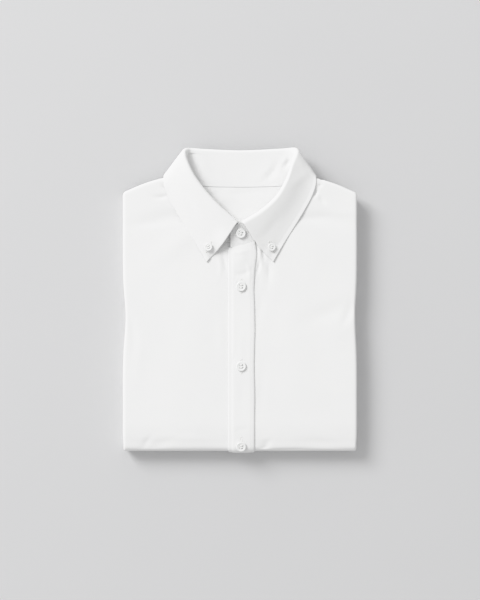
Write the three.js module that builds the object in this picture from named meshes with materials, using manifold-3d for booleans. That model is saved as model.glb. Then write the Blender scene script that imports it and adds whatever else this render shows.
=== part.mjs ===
// A long-sleeved pique shirt with a button-down collar, folded flat as for a shelf.
// The front lies up. The sides and sleeves are turned behind, and the lower half is turned under.
// Millimetres. +X is to the wearer's left, +Y towards the collar, +Z up from the surface that it rests on.
// The origin is under the centre of the folded outline.

import * as THREE from "three";
import { mergeVertices } from "three/addons/utils/BufferGeometryUtils.js";
import Module from "manifold-3d";

// Cloth and seams
const frontCloth = 1.2;
const yokeCloth = 1.2;
const placketCloth = 1.6;
const standCloth = 1.6;
const leafCloth = 1.4;
const seamGap = 0.3;

// Folded outline
const halfWidth = 135.1;
const waistHeight = -21;
const waistLength = 34;
const waistDip = { right: 3, left: 2 };
const shoulderSlope = 0.28;
const shoulderBend = 0.0032;
const shoulderStart = { x: 97, y: 139.2 };
const cornerRadius = 5.5;
const cornerDrop = 5.83;
const cornerTurn = 70;
const tailHem = 119;

// Heights in the stack
const stackTop = 23;
const foldStart = -164.8;
const foldSquareness = { over: 3.4, back: 2.6 };
const settleLength = 22;
const settleDrop = 0.8;
const curlRadius = 4.6;
const turnBack = 10;
const cornerTurnBack = 0.2;

// Placket
const placketRight = -12.8;
const placketLeft = 17.4;
const placketSeam = { right: 59.4, left: 67.4 };
const placketShares = [0, 0.2, 0.5, 0.8, 1];
const frontRightEdge = 10.6;
const frontLeftEdge = 11.4;
const lapStart = 0.17;
const recessRamp = 7;
const recessTurn = { start: 90, span: 75.6 };

// Buttons
const frontButton = { radius: 5.75, thickness: 2.6, hole: 0.95, spread: 1.45 };
const pointButton = { radius: 4.6, thickness: 2.2, hole: 0.8, spread: 1.2 };
const placketButtons = [
  { name: "button_front_1", y: 15.7 },
  { name: "button_front_2", y: -76.6 },
  { name: "button_front_3", y: -169.2 },
];
const placketButtonX = 1.9;
const standButton = { x: 1.7, y: 77.1, topShare: 0.15, seamShare: 0.3 };
const pointButtonPlace = { across: 0.43, towardsTip: 0.12 };
const buttonSides = 18;
const buttonProfile = [
  { out: 0, up: 0 },
  { out: 0.78, up: 0 },
  { out: 1, up: 0.42 },
  { out: 0.98, up: 0.72 },
  { out: 0.86, up: 1 },
  { out: 0.7, up: 0.92 },
  { out: 0.56, up: 0.66 },
  { out: 0, up: 0.6 },
];

// Soft folds of the fronts: ridges and troughs with their own place, direction, size and depth
const softFolds = [
  { x: -86, y: 95, turn: 8, length: 30, width: 8, depth: -0.9 },
  { x: 94, y: 94, turn: -7, length: 34, width: 8, depth: -0.8 },
  { x: -66, y: 70, turn: 35, length: 34, width: 12, depth: 0.7 },
  { x: 70, y: 66, turn: -40, length: 36, width: 12, depth: 0.8 },
  { x: 34, y: 34, turn: 84, length: 22, width: 6, depth: -0.6 },
  { x: -52, y: -40, turn: 76, length: 70, width: 22, depth: 0.6 },
  { x: 66, y: -70, turn: 98, length: 66, width: 24, depth: 0.7 },
  { x: 104, y: -14, turn: 20, length: 26, width: 9, depth: -0.7 },
];

// Rows of the fronts' grids. neck counts collar rows along the neck seam from the centre front, x and below
// say where the row meets the shoulder or the side, and the rest are heights on the side.
const shoulderRows = [
  { neck: 4, gap: 2.4, x: 77 },
  { neck: 3.5, gap: seamGap, x: 90 },
  { neck: 3, gap: seamGap, x: 104 },
  { neck: 2.5, gap: seamGap, x: 117 },
];
const cornerRows = [
  { neck: 2, turn: cornerTurn },
  { neck: 1.75, turn: cornerTurn / 2 },
  { neck: 1.5, turn: 0 },
];
const neckSideRows = [
  { neck: 1, below: 12 },
  { neck: 0.5, below: 24 },
];
const lapRow = { below: 38 };
const edgeRow = { below: 52 };
const sideHeights = [46, 24, 2, -21, -44, -70, -100, -130, -148];
const tailHeights = [-120, -50, 30, tailHem];
const placketHeights = [50, 36, 15, -10, -45, -80, -115, -145];

// Half of the collar from the centre front to the centre back. x is measured from the collar's centre.
// crest is the top of the roll, tip the outer edge of the leaf, seam the neck seam. tilt turns the way
// from stand to leaf, up at the front, out at the side and down at the back.
const collarCentre = 0.6;
const collarRows = [
  {
    crest: [2.2, 90.0, 28.0], tip: [38.4, 43.6, 24.7], seam: [6.0, 64.8, 22.7],
    tilt: 0, roll: 4.0, loose: 0, lap: 1,
  },
  {
    crest: [22.0, 107.5, 28.6], tip: [51.2, 65.6, 24.5], seam: [39.0, 82.0, 22.9],
    tilt: 0, roll: 4.0, loose: 0.8, lap: 0.35,
  },
  {
    crest: [38.3, 124.7, 28.6], tip: [62.8, 84.1, 24.4], seam: [60.0, 104.5, 22.9],
    tilt: 0, roll: 4.0, loose: 1, lap: 0,
  },
  {
    crest: [52.0, 143.2, 28.4], tip: [74.5, 103.2, 24.3], seam: [69.2, 120.4, 22.9],
    tilt: 0, roll: 3.9, loose: 0.5, lap: 0,
  },
  {
    crest: [59.5, 158.3, 27.6], tip: [83.0, 119.0, 24.3], seam: [72.6, 129.9, 22.8],
    tilt: 8, roll: 3.7, loose: 0, lap: 0,
  },
  {
    crest: [62.8, 168.3, 26.2], tip: [87.8, 133.0, 24.3], seam: [72.9, 133.4, 22.3],
    tilt: 30, roll: 3.4, loose: 0, lap: 0,
  },
  {
    crest: [63.3, 173.2, 24.0], tip: [88.3, 141.6, 22.6], seam: [72.6, 135.2, 21.2],
    tilt: 62, roll: 3.1, loose: 0, lap: 0,
  },
  {
    crest: [62.2, 175.4, 21.2], tip: [88.2, 143.8, 17.4], seam: [71.3, 136.0, 19.4],
    tilt: 90, roll: 2.9, loose: 0, lap: 0,
  },
  {
    crest: [60.5, 176.0, 18.6], tip: [86.5, 141.4, 12.4], seam: [68.8, 135.4, 17.8],
    tilt: 118, roll: 2.6, loose: 0, lap: 0,
  },
  {
    crest: [57.0, 175.9, 16.6], tip: [82.5, 135.5, 10.6], seam: [64.4, 134.2, 16.8],
    tilt: 150, roll: 2.4, loose: 0, lap: 0,
  },
  {
    crest: [41.0, 174.8, 15.6], tip: [63.8, 126.5, 9.8], seam: [41.0, 132.0, 16.5],
    tilt: 180, roll: 2.2, loose: 0, lap: 0,
  },
  {
    crest: [0.0, 173.2, 15.5], tip: [0.0, 124.3, 9.7], seam: [0.0, 131.1, 16.4],
    tilt: 180, roll: 2.2, loose: 0, lap: 0,
  },
];
const looseShift = { x: 4.6, y: -3.4 };
const lapLift = 2.1;
const innerLeg = 3;
const sideTuck = 2.1;
const standDrop = 1.4;
const leafCrown = { right: 0.8, left: -1.6 };
const sideCrown = 1.4;
const stationsPerRow = 2;
const rollTurns = [-90, -60, -30, 0, 30, 60, 90];
const leafShares = [0.22, 0.48, 0.74, 1];
const standShares = [0, 0.25, 0.5, 0.75, 1];

// Ends of the stand past the leaf: the under lap first, then the rounded upper lap
const underLap = [
  { top: [-0.6, 88.0, 24.0], seam: [-3.4, 64.9, 22.6] },
  { top: [9.4, 88.0, 24.0], seam: [9.4, 66.6, 22.5] },
];
const upperLap = [
  { top: [2.2, 88.4, 26.3], seam: [4.6, 64.4, 24.8] },
  { top: [-3.6, 86.6, 26.2], seam: [-4.6, 62.3, 24.8] },
  { top: [-8.8, 82.2, 26.0], seam: [-8.6, 61.0, 24.8] },
  { top: [-10.6, 77.0, 25.7], seam: [-11.2, 60.3, 24.8] },
];

// Yoke inside the neck: how far it stays inside the seams, and its rise towards the front
const yoke = { top: 17, inset: 0.4, backInset: 0.9, sideInset: 0.8, sideTop: 126, rise: 2.6, riseStart: 108 };
const yokeRiseLength = 34;
const yokeShares = [0, 0.08, 0.22, 0.36, 0.5, 0.64, 0.78, 0.92, 1];

// Hidden layers: each is a slab with a rounded edge, inset from the outline or kept to its own width
const shoulderSlab = { low: 14.4, high: 20.8, inset: 2, slopeInset: 2.12, bottom: -163.2, sideTop: 110 };
const shoulderSlabNeck = { x: 73, y: 128.5 };
const shoulderSlabSlope = [75, 92, 110, 124];
const shoulderSlabCorner = { inside: 3, under: 4, down: 5 };
const hiddenLayers = [
  { low: 11.9, high: 15, half: 72, top: 128.5, bottom: 30 }, // back below the yoke
  { low: 8.6, high: 14.8, half: 112, top: 114, bottom: -158 }, // sleeves
  { low: 4.5, high: 17.7, half: 112, top: -140, bottom: -172.8 }, // folds of the lower half
  { low: 6.6, high: 8.8, inset: 3.9, top: 116, bottom: -162 }, // front tails
  { low: 4.2, high: 6.8, inset: 2.2, top: 121.6, bottom: -163 }, // back tail
  { low: 1.6, high: 4.4, inset: 3.6, top: 118.2, bottom: -162 }, // turned-back sides
];
const layerSteps = [95, 45, 10, -21, -52, -90];
const layerWave = { height: 0.9, turns: 9, shares: [-0.75, -0.5, -0.25, 0, 0.25, 0.5, 0.75] };
const stepClearance = 6;
const roundShare = 0.46;
const roundSteps = 3;
const neckHollow = { floor: 14.9, margin: 0.8, behind: 12, before: 1.2 };
const placketChannel = { half: 23.8, top: 3.6 };

const wasm = await Module();
wasm.setup();
const up = new THREE.Vector3(0, 0, 1);
const degrees = Math.PI / 180;
const foldRadius = (stackTop - settleDrop - frontCloth) / 2;
const placketCentre = (placketRight + placketLeft) / 2;
const placketHalf = (placketLeft - placketRight) / 2;
const placketLift = frontCloth / 2 + seamGap + placketCloth / 2;
const placketRecess = placketCloth + seamGap;

function vector(xyz) {
  return new THREE.Vector3(xyz[0], xyz[1], xyz[2]);
}

function unit(v) {
  return v.clone().normalize();
}

function moved(start, ...steps) {
  const end = start.clone();
  for (const [direction, length] of steps) end.addScaledVector(direction, length);
  return end;
}

function smooth(value) {
  return THREE.MathUtils.smoothstep(value, 0, 1);
}

// Walls of cloth

// Six times the volume inside a closed surface, negative where its faces look inwards
function enclosedVolume(positions, indices) {
  const corner = (k) => new THREE.Vector3().fromArray(positions, indices[k] * 3);
  let sum = 0;
  for (let k = 0; k < indices.length; k += 3) sum += corner(k).dot(corner(k + 1).cross(corner(k + 2)));
  return sum;
}

// A closed wall of even thickness about a grid of points. Each row holds the same number of points,
// and a point may carry its own normal.
function clothWall(grid, thickness) {
  const rows = grid.length;
  const columns = grid[0].length;
  const positions = [];
  const indices = [];
  const at = (i, j) => grid[THREE.MathUtils.clamp(i, 0, rows - 1)][THREE.MathUtils.clamp(j, 0, columns - 1)];
  const normalAt = (i, j) => {
    if (at(i, j).normal) return at(i, j).normal;
    const along = at(i + 1, j).clone().sub(at(i - 1, j));
    const across = at(i, j + 1).clone().sub(at(i, j - 1));
    return across.cross(along).normalize();
  };
  for (const side of [0.5, -0.5]) {
    for (let i = 0; i < rows; i += 1) {
      for (let j = 0; j < columns; j += 1) {
        positions.push(...moved(at(i, j), [normalAt(i, j), side * thickness]).toArray());
      }
    }
  }
  const back = rows * columns;
  const index = (i, j) => i * columns + j;
  const quad = (a, b, c, d) => indices.push(a, b, c, a, c, d);
  for (let i = 0; i + 1 < rows; i += 1) {
    for (let j = 0; j + 1 < columns; j += 1) {
      const corners = [index(i, j), index(i, j + 1), index(i + 1, j + 1), index(i + 1, j)];
      quad(...corners);
      quad(...corners.map((k) => k + back).reverse());
    }
  }
  const rim = [];
  for (let j = 0; j < columns - 1; j += 1) rim.push(index(0, j));
  for (let i = 0; i < rows - 1; i += 1) rim.push(index(i, columns - 1));
  for (let j = columns - 1; j > 0; j -= 1) rim.push(index(rows - 1, j));
  for (let i = rows - 1; i > 0; i -= 1) rim.push(index(i, 0));
  rim.forEach((a, k) => {
    const b = rim[(k + 1) % rim.length];
    quad(b, a, a + back, b + back);
  });
  if (enclosedVolume(positions, indices) < 0) indices.reverse();
  const geometry = new THREE.BufferGeometry();
  geometry.setAttribute("position", new THREE.Float32BufferAttribute(positions, 3));
  geometry.setIndex(indices);
  geometry.computeVertexNormals();
  return geometry;
}

// Outline and height of the fronts

// Half width of the folded shirt at a height y, for the wearer's right or left side
function sideReach(y, side) {
  return halfWidth - waistDip[side] * Math.exp(-(((y - waistHeight) / waistLength) ** 2));
}

function shoulderHeight(x) {
  const out = x - shoulderStart.x;
  return shoulderStart.y - shoulderSlope * out - shoulderBend * Math.max(out, 0) ** 2;
}

// Height of the middle of the cloth over the fronts: flat, settling towards the bottom fold
function frontHeight(x, y) {
  let height = stackTop - frontCloth / 2;
  height -= settleDrop * smooth((foldStart + settleLength - y) / settleLength);
  for (const fold of softFolds) {
    const turn = fold.turn * degrees;
    const along = (x - fold.x) * Math.cos(turn) + (y - fold.y) * Math.sin(turn);
    const across = (y - fold.y) * Math.cos(turn) - (x - fold.x) * Math.sin(turn);
    height += fold.depth * Math.exp(-((along / fold.length) ** 2) - (across / fold.width) ** 2);
  }
  return height;
}

// The bottom fold at one turn of its way: how far out and up, from -1 to 1, and its normal.
// It is squarer than a half circle, more so on its way over than on its way back.
function foldArc(turn) {
  const power = Math.cos(turn) < 0 ? foldSquareness.back : foldSquareness.over;
  const out = Math.abs(Math.sin(turn)) ** (2 / power);
  const rise = Math.sign(Math.cos(turn)) * Math.abs(Math.cos(turn)) ** (2 / power);
  const normal = new THREE.Vector3(0, -(out ** (power - 1)), Math.sign(rise) * Math.abs(rise) ** (power - 1));
  return { out, rise, normal: normal.normalize() };
}

// A place along the way of the cloth below the neck: over the top, round the bottom fold and underneath.
// travel is measured from the start of the bottom fold, negative on top.
function clothWay(x, travel) {
  const turn = THREE.MathUtils.clamp(travel / foldRadius, 0, Math.PI);
  const under = Math.max(travel - Math.PI * foldRadius, 0);
  const { out, rise, normal } = foldArc(turn);
  if (travel < 0) {
    const y = foldStart - travel;
    return { point: new THREE.Vector3(x, y, frontHeight(x, y)), normal };
  }
  const height = frontCloth / 2 + foldRadius + foldRadius * rise;
  return { point: new THREE.Vector3(x, foldStart + under - foldRadius * out, height), normal };
}

// How far the fronts give way under the placket, so that both lie flat on the surface
function recessAt(x, travel) {
  const turned = smooth((travel / foldRadius / degrees - recessTurn.start) / recessTurn.span);
  const outside = Math.abs(x - placketCentre) - placketHalf;
  return placketRecess * turned * (1 - smooth((outside - 1) / recessRamp));
}

// Collar

function mirrored(xyz, side) {
  return vector([collarCentre + side * xyz[0], xyz[1], xyz[2]]);
}

// One station of the collar, side -1 for the wearer's right and 1 for the left
function collarStation(row, side) {
  const left = side > 0 ? 1 : 0;
  const shift = new THREE.Vector3(looseShift.x, looseShift.y, 0).multiplyScalar(row.loose * left);
  const lift = row.lap * left * lapLift;
  const crest = mirrored(row.crest, side).add(shift);
  crest.z += lift;
  const seam = mirrored(row.seam, side).addScaledVector(shift, 0.6);
  seam.z += lift;
  const tip = mirrored(row.tip, side);
  const middle = seam.clone().add(tip).multiplyScalar(0.5).sub(crest).setZ(0).normalize();
  const outward = new THREE.Vector3(middle.y, -middle.x, 0).multiplyScalar(-side);
  const tilt = row.tilt * degrees;
  const normal = up.clone().multiplyScalar(Math.cos(tilt)).addScaledVector(outward, Math.sin(tilt));
  return { crest, seam, tip, normal, roll: row.roll, side, level: Math.cos(tilt) };
}

// Stations all round the collar, from the wearer's right front to the left front
function collarStations() {
  const rows = [
    ...collarRows.map((row) => collarStation(row, -1)),
    ...collarRows.slice(0, -1).reverse().map((row) => collarStation(row, 1)),
  ];
  const curves = {};
  for (const key of ["crest", "seam", "tip", "normal"]) {
    curves[key] = new THREE.CatmullRomCurve3(rows.map((row) => row[key]), false, "centripetal");
  }
  const last = rows.length - 1;
  const count = last * stationsPerRow;
  const stations = [];
  for (let k = 0; k <= count; k += 1) {
    const place = k / stationsPerRow;
    const before = rows[Math.min(Math.floor(place), last - 1)];
    const after = rows[Math.min(Math.floor(place) + 1, last)];
    const part = place - Math.min(Math.floor(place), last - 1);
    stations.push({
      crest: curves.crest.getPoint(k / count),
      seam: curves.seam.getPoint(k / count),
      tip: curves.tip.getPoint(k / count),
      normal: curves.normal.getPoint(k / count).normalize(),
      roll: THREE.MathUtils.lerp(before.roll, after.roll, part),
      level: THREE.MathUtils.lerp(before.level, after.level, part),
      side: THREE.MathUtils.lerp(before.side, after.side, part),
    });
  }
  return stations;
}

// Ways from the crest down the stand and down the leaf
function collarWays(station) {
  const inside = moved(station.crest, [station.normal, -station.roll]);
  const outside = moved(station.crest, [station.normal, station.roll]);
  return { down: unit(station.seam.clone().sub(inside)), out: unit(station.tip.clone().sub(outside)) };
}

// Section of the leaf: a short inner leg, the roll and the outer leg with its crown
function leafSection(station) {
  const { down, out } = collarWays(station);
  const { crest, normal, roll, tip } = station;
  const points = [moved(crest, [down, roll + innerLeg], [normal, -roll])];
  for (const turn of rollTurns) {
    const heading = unit(down.clone().lerp(out, (turn + 90) / 180));
    const height = roll * Math.sin(turn * degrees);
    points.push(moved(crest, [heading, roll * (1 - Math.cos(turn * degrees))], [normal, height]));
  }
  const start = points[points.length - 1];
  const crown = THREE.MathUtils.lerp(leafCrown.right, leafCrown.left, (station.side + 1) / 2);
  const bulge = crown * Math.max(station.level, 0) + sideCrown * (1 - Math.abs(station.level));
  for (const share of leafShares) {
    const point = start.clone().lerp(tip, share);
    points.push(moved(point, [normal, bulge * Math.sin(Math.PI * share)]));
  }
  return points;
}

function collarLeaf(stations) {
  return clothWall(stations.map(leafSection), leafCloth);
}

function standSection(top, seam) {
  return standShares.map((share) => top.clone().lerp(seam, share));
}

function collarStand(stations) {
  const loop = stations.map((station) => {
    const { down } = collarWays(station);
    const reach = station.roll + innerLeg + standDrop;
    const inside = station.roll + sideTuck * Math.sqrt(1 - Math.min(station.level ** 2, 1));
    return standSection(moved(station.crest, [down, reach], [station.normal, -inside]), station.seam);
  });
  const under = underLap.map((row) => standSection(vector(row.top), vector(row.seam))).reverse();
  const upper = upperLap.map((row) => standSection(vector(row.top), vector(row.seam)));
  return clothWall([...under, ...loop, ...upper], standCloth);
}

// Fronts

// Where each row of a front starts, on the neck seam or at its front edge, and where it meets the outline
function frontRows(name, stations) {
  const side = name === "left" ? 1 : -1;
  const neck = stations.filter((station) => Math.sign(station.side) === side);
  const ordered = side < 0 ? neck : neck.reverse();
  const neckPoint = (row, gap = seamGap) => {
    const place = row * stationsPerRow;
    const [before, after] = [ordered[Math.floor(place)], ordered[Math.ceil(place)]];
    const seam = before.seam.clone().lerp(after.seam, place - Math.floor(place));
    const away = unit(seam.clone().sub(before.crest).setZ(0));
    return moved(seam, [away, gap]);
  };
  const frontEdge = side < 0 ? frontRightEdge : frontLeftEdge;
  const lastNeck = neckPoint(side < 0 ? 0 : lapStart, 2 * seamGap);
  const cornerY = shoulderHeight(halfWidth - cornerRadius) - cornerDrop;
  const rows = [];
  for (const { neck: row, gap, x } of shoulderRows) {
    const slope = shoulderSlope + 2 * shoulderBend * Math.max(x - shoulderStart.x, 0);
    const out = unit(new THREE.Vector3(side * slope, 1, 0));
    const edge = new THREE.Vector3(side * x, shoulderHeight(x), 0);
    rows.push({ inner: neckPoint(row, gap), edge, out, turnBack });
  }
  for (const { neck: row, turn } of cornerRows) {
    const out = new THREE.Vector3(side * Math.cos(turn * degrees), Math.sin(turn * degrees), 0);
    const centre = new THREE.Vector3(side * (halfWidth - cornerRadius), cornerY, 0);
    const edge = moved(centre, [out, cornerRadius]);
    rows.push({ inner: neckPoint(row), edge, out, turnBack: cornerTurnBack });
  }
  const sideways = new THREE.Vector3(side, 0, 0);
  const sideRow = (inner, y) => {
    const edge = new THREE.Vector3(side * sideReach(y, name), y, 0);
    rows.push({ inner, edge, out: sideways, turnBack });
  };
  for (const { neck: row, below } of neckSideRows) sideRow(neckPoint(row), cornerY - below);
  sideRow(lastNeck, cornerY - lapRow.below);
  sideRow(new THREE.Vector3(frontEdge, lastNeck.y - 2 * seamGap, 0), cornerY - edgeRow.below);
  for (const y of sideHeights) sideRow(new THREE.Vector3(frontEdge, y, 0), y);
  return rows;
}

const curlTurns = [30, 60, 90, 120, 150, 180];
const foldTurns = [0, 22.5, 45, 67.5, 90, 112.5, 135, 157.5, 180];

// Shares of the way from the front edge to the side. The first ones follow the placket's edge.
function acrossShares(side) {
  const width = halfWidth - curlRadius - frontCloth / 2 - side * (side > 0 ? frontLeftEdge : frontRightEdge);
  const edge = side > 0 ? placketLeft - frontLeftEdge + 1 : frontRightEdge - placketRight + 1;
  const near = [0, edge / width, (edge + recessRamp / 2) / width, (edge + recessRamp) / width];
  const rest = [1, 2, 3, 4, 5].map((step) => THREE.MathUtils.lerp(near[3], 1, step / 5));
  return [...near, ...rest];
}

function withNormal(point, normal) {
  point.normal = normal;
  return point;
}

// The side of a row: the cloth curls down over the edge and a short way back underneath
function curl(start, out, normal, back) {
  const points = curlTurns.map((turn) => {
    const angle = turn * degrees;
    const sink = curlRadius * (1 - Math.cos(angle));
    const point = moved(start, [out, curlRadius * Math.sin(angle)], [normal, -sink]);
    const turned = normal.clone().multiplyScalar(Math.cos(angle)).addScaledVector(out, Math.sin(angle));
    return withNormal(point, turned);
  });
  const last = points[points.length - 1];
  points.push(withNormal(moved(last, [out, -back]), normal.clone().negate()));
  return points;
}

function frontPanel(name, stations) {
  const side = name === "left" ? 1 : -1;
  const shares = acrossShares(side);
  const inset = curlRadius + frontCloth / 2;
  const grid = frontRows(name, stations).map((row) => {
    const start = moved(row.edge, [row.out, -inset]);
    start.z = frontHeight(start.x, start.y);
    const flat = shares.map((share) => {
      const point = row.inner.clone().lerp(start, share);
      point.z = frontHeight(point.x, point.y);
      return withNormal(point, up);
    });
    return [...flat, ...curl(start, row.out, up, row.turnBack)];
  });
  const travels = foldTurns.map((turn) => turn * degrees * foldRadius);
  const under = Math.PI * foldRadius;
  for (const y of tailHeights) travels.push(under + y - foldStart);
  const frontEdge = side < 0 ? frontRightEdge : frontLeftEdge;
  const sideways = new THREE.Vector3(side, 0, 0);
  for (const travel of travels) {
    const y = clothWay(0, travel).point.y;
    const startX = side * (sideReach(y, name) - inset);
    const flat = shares.map((share) => {
      const x = THREE.MathUtils.lerp(frontEdge, startX, share);
      const { point, normal } = clothWay(x, travel);
      return withNormal(moved(point, [normal, -recessAt(x, travel)]), normal);
    });
    const { point, normal } = clothWay(startX, travel);
    grid.push([...flat, ...curl(point, sideways, normal, turnBack)]);
  }
  return clothWall(grid, frontCloth);
}

// Placket

function placketStrip() {
  const { right, left } = placketSeam;
  const seamY = (x) => THREE.MathUtils.mapLinear(x, placketRight, placketLeft, right, left);
  const travels = placketHeights.map((y) => foldStart - y);
  for (const turn of foldTurns) travels.push(turn * degrees * foldRadius);
  for (const y of tailHeights) travels.push(Math.PI * foldRadius + y - foldStart);
  const place = (x, travel) => {
    const { point, normal } = clothWay(x, travel);
    return withNormal(moved(point, [normal, placketLift - recessAt(x, travel)]), normal);
  };
  const xAt = (share) => THREE.MathUtils.lerp(placketRight, placketLeft, share);
  const grid = [placketShares.map((share) => place(xAt(share), foldStart - seamY(xAt(share)) + seamGap))];
  for (const travel of travels) grid.push(placketShares.map((share) => place(xAt(share), travel)));
  return clothWall(grid, placketCloth);
}

// Yoke inside the neck

function yokeHeight(y) {
  return yoke.top - yokeCloth / 2 + yoke.rise * smooth((yoke.riseStart - y) / yokeRiseLength);
}

// Rows of the yoke from the back neck seam down to the front, each inside the neck seam by inset
function yokeRows(inset) {
  const at = (row, side) => collarStation(collarRows[row], side).seam;
  const rows = [];
  const back = [at(9, -1), at(10, -1), at(11, -1), at(10, 1), at(9, 1)].map((p) => p.setZ(0));
  const seam = new THREE.CatmullRomCurve3(back, false, "centripetal");
  const forward = new THREE.Vector3(0, -1, 0);
  rows.push(yokeShares.map((share) => moved(seam.getPoint(share), [forward, inset + yoke.backInset])));
  for (const row of [4, 3, 2, 1]) {
    const right = at(row, -1);
    const left = at(row, 1);
    const y = Math.min((right.y + left.y) / 2, yoke.sideTop);
    const start = new THREE.Vector3(right.x + inset + yoke.sideInset, y, 0);
    const end = new THREE.Vector3(left.x - inset - yoke.sideInset, y, 0);
    rows.push(yokeShares.map((share) => start.clone().lerp(end, share)));
  }
  return rows;
}

function yokePanel() {
  const grid = yokeRows(yoke.inset).map((row) =>
    row.map((point) => withNormal(point.clone().setZ(yokeHeight(point.y)), up)),
  );
  return clothWall(grid, yokeCloth);
}

// Hidden layers

function solidOf(geometry) {
  const plain = geometry.clone();
  plain.deleteAttribute("normal");
  if (plain.getAttribute("uv")) plain.deleteAttribute("uv");
  const merged = mergeVertices(plain, 1e-3);
  const vertProperties = new Float32Array(merged.attributes.position.array);
  const triVerts = new Uint32Array(merged.index.array);
  return new wasm.Manifold(new wasm.Mesh({ numProp: 3, vertProperties, triVerts }));
}

function geometryOf(solid) {
  const mesh = solid.getMesh();
  const geometry = new THREE.BufferGeometry();
  geometry.setAttribute("position", new THREE.BufferAttribute(new Float32Array(mesh.vertProperties), 3));
  geometry.setIndex(new THREE.BufferAttribute(new Uint32Array(mesh.triVerts), 1));
  const flat = geometry.toNonIndexed();
  flat.computeVertexNormals();
  return flat;
}

// A slab between two heights whose edge is rounded all round
function roundedSlab(outline, low, high) {
  const thickness = high - low;
  const round = thickness * roundShare;
  const geometry = new THREE.ExtrudeGeometry(new THREE.Shape(outline), {
    depth: thickness - 2 * round,
    bevelEnabled: true,
    bevelThickness: round,
    bevelSize: round,
    bevelOffset: -round,
    bevelSegments: roundSteps,
    steps: 1,
  });
  return solidOf(geometry.translate(0, 0, low + round));
}

function layerOutline(layer) {
  const reach = (y, side) => layer.half ?? sideReach(y, side) - layer.inset;
  const [high, low] = [layer.top - stepClearance, layer.bottom + stepClearance];
  const ys = layer.half ? [] : layerSteps.filter((y) => y < high && y > low);
  const points = [];
  for (const y of [layer.top, ...ys, layer.bottom]) points.push(new THREE.Vector2(reach(y, "left"), y));
  for (const y of [layer.bottom, ...ys.reverse(), layer.top]) {
    points.push(new THREE.Vector2(-reach(y, "right"), y));
  }
  for (const share of layer.half ? [] : layerWave.shares) {
    const wave = layerWave.height * Math.sin(share * layerWave.turns + layer.low);
    points.push(new THREE.Vector2(share * reach(layer.top, "left"), layer.top + wave));
  }
  return points.reverse();
}

function shoulderOutline() {
  const { inset, slopeInset, bottom, sideTop } = shoulderSlab;
  const { inside, under, down } = shoulderSlabCorner;
  const points = [new THREE.Vector2(shoulderSlabNeck.x, shoulderSlabNeck.y)];
  for (const x of shoulderSlabSlope) points.push(new THREE.Vector2(x, shoulderHeight(x) - slopeInset));
  points.push(new THREE.Vector2(halfWidth - inside, shoulderHeight(halfWidth - under) - down));
  for (const y of [sideTop, ...layerSteps.slice(1), bottom]) {
    points.push(new THREE.Vector2(sideReach(y, "left") - inset, y));
  }
  const mirror = points.map((p) => {
    const more = p.y < sideTop ? waistDip.right - waistDip.left : 0;
    const dip = more * Math.exp(-(((p.y - waistHeight) / waistLength) ** 2));
    return new THREE.Vector2(-(p.x - dip), p.y);
  });
  return [...points, ...mirror.reverse()].reverse();
}

function box(low, high) {
  const size = high.clone().sub(low);
  const middle = low.clone().add(high).multiplyScalar(0.5);
  const geometry = new THREE.BoxGeometry(size.x, size.y, size.z);
  return solidOf(geometry.translate(middle.x, middle.y, middle.z));
}

// The neck's hollow in the layers, round the yoke and open upwards
function neckPocket() {
  const rows = yokeRows(-neckHollow.margin);
  const right = rows.map((row) => row[0]);
  const left = rows.map((row) => row[row.length - 1]);
  const bottomY = right[right.length - 1].y - neckHollow.before;
  right[0].y += neckHollow.behind;
  left[0].y += neckHollow.behind;
  right[right.length - 1].y = bottomY;
  left[left.length - 1].y = bottomY;
  const outline = [...left, ...right.reverse()].map((p) => new THREE.Vector2(p.x, p.y));
  const geometry = new THREE.ExtrudeGeometry(new THREE.Shape(outline.reverse()), {
    depth: stackTop,
    bevelEnabled: false,
  });
  return solidOf(geometry.translate(0, 0, neckHollow.floor));
}

function foldedLayers() {
  let solid = roundedSlab(shoulderOutline(), shoulderSlab.low, shoulderSlab.high);
  for (const layer of hiddenLayers) {
    solid = solid.add(roundedSlab(layerOutline(layer), layer.low, layer.high));
  }
  const { half, top } = placketChannel;
  const channelLow = new THREE.Vector3(placketCentre - half, -2 * halfWidth, -top);
  const channelHigh = new THREE.Vector3(placketCentre + half, 2 * halfWidth, top);
  return geometryOf(solid.subtract(box(channelLow, channelHigh)).subtract(neckPocket()));
}

// Buttons

// A flat button with a rounded rim, a sunk middle and four holes, its underside at z = 0
function buttonShape({ radius, thickness, hole, spread }) {
  const profile = buttonProfile.map((row) => new THREE.Vector2(radius * row.out, thickness * row.up));
  const lathe = new THREE.LatheGeometry(profile, buttonSides).rotateX(Math.PI / 2);
  let solid = solidOf(lathe);
  for (const [x, y] of [[1, 1], [-1, 1], [-1, -1], [1, -1]]) {
    const drill = new THREE.CylinderGeometry(hole, hole, thickness * 3, 6).rotateX(Math.PI / 2);
    solid = solid.subtract(solidOf(drill.translate(x * spread, y * spread, 0)));
  }
  return geometryOf(solid);
}

function material(color, roughness) {
  return new THREE.MeshStandardMaterial({ color, roughness, metalness: 0 });
}

function piece(name, geometry, finish) {
  const mesh = new THREE.Mesh(geometry, finish);
  mesh.name = name;
  return mesh;
}

function buttonOn(name, size, seat, normal, turn) {
  const mesh = piece(name, buttonShape(size), material(0xf1f1ef, 0.3));
  mesh.position.copy(seat);
  mesh.quaternion.setFromUnitVectors(up, normal);
  mesh.rotateZ(turn * degrees);
  return mesh;
}

// The middle of the stand's upper lap at the button, and the leaf near a point
function standSeat() {
  const [a, b] = [upperLap[0], upperLap[1]];
  const top = vector(a.top).lerp(vector(b.top), standButton.topShare);
  const seam = vector(a.seam).lerp(vector(b.seam), standButton.seamShare);
  const share = (top.y - standButton.y) / (top.y - seam.y);
  const point = top.clone().lerp(seam, share).setX(standButton.x);
  const down = unit(seam.sub(top));
  const normal = unit(new THREE.Vector3(0, -down.z, down.y).multiplyScalar(Math.sign(down.y)));
  return { point, normal };
}

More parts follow.
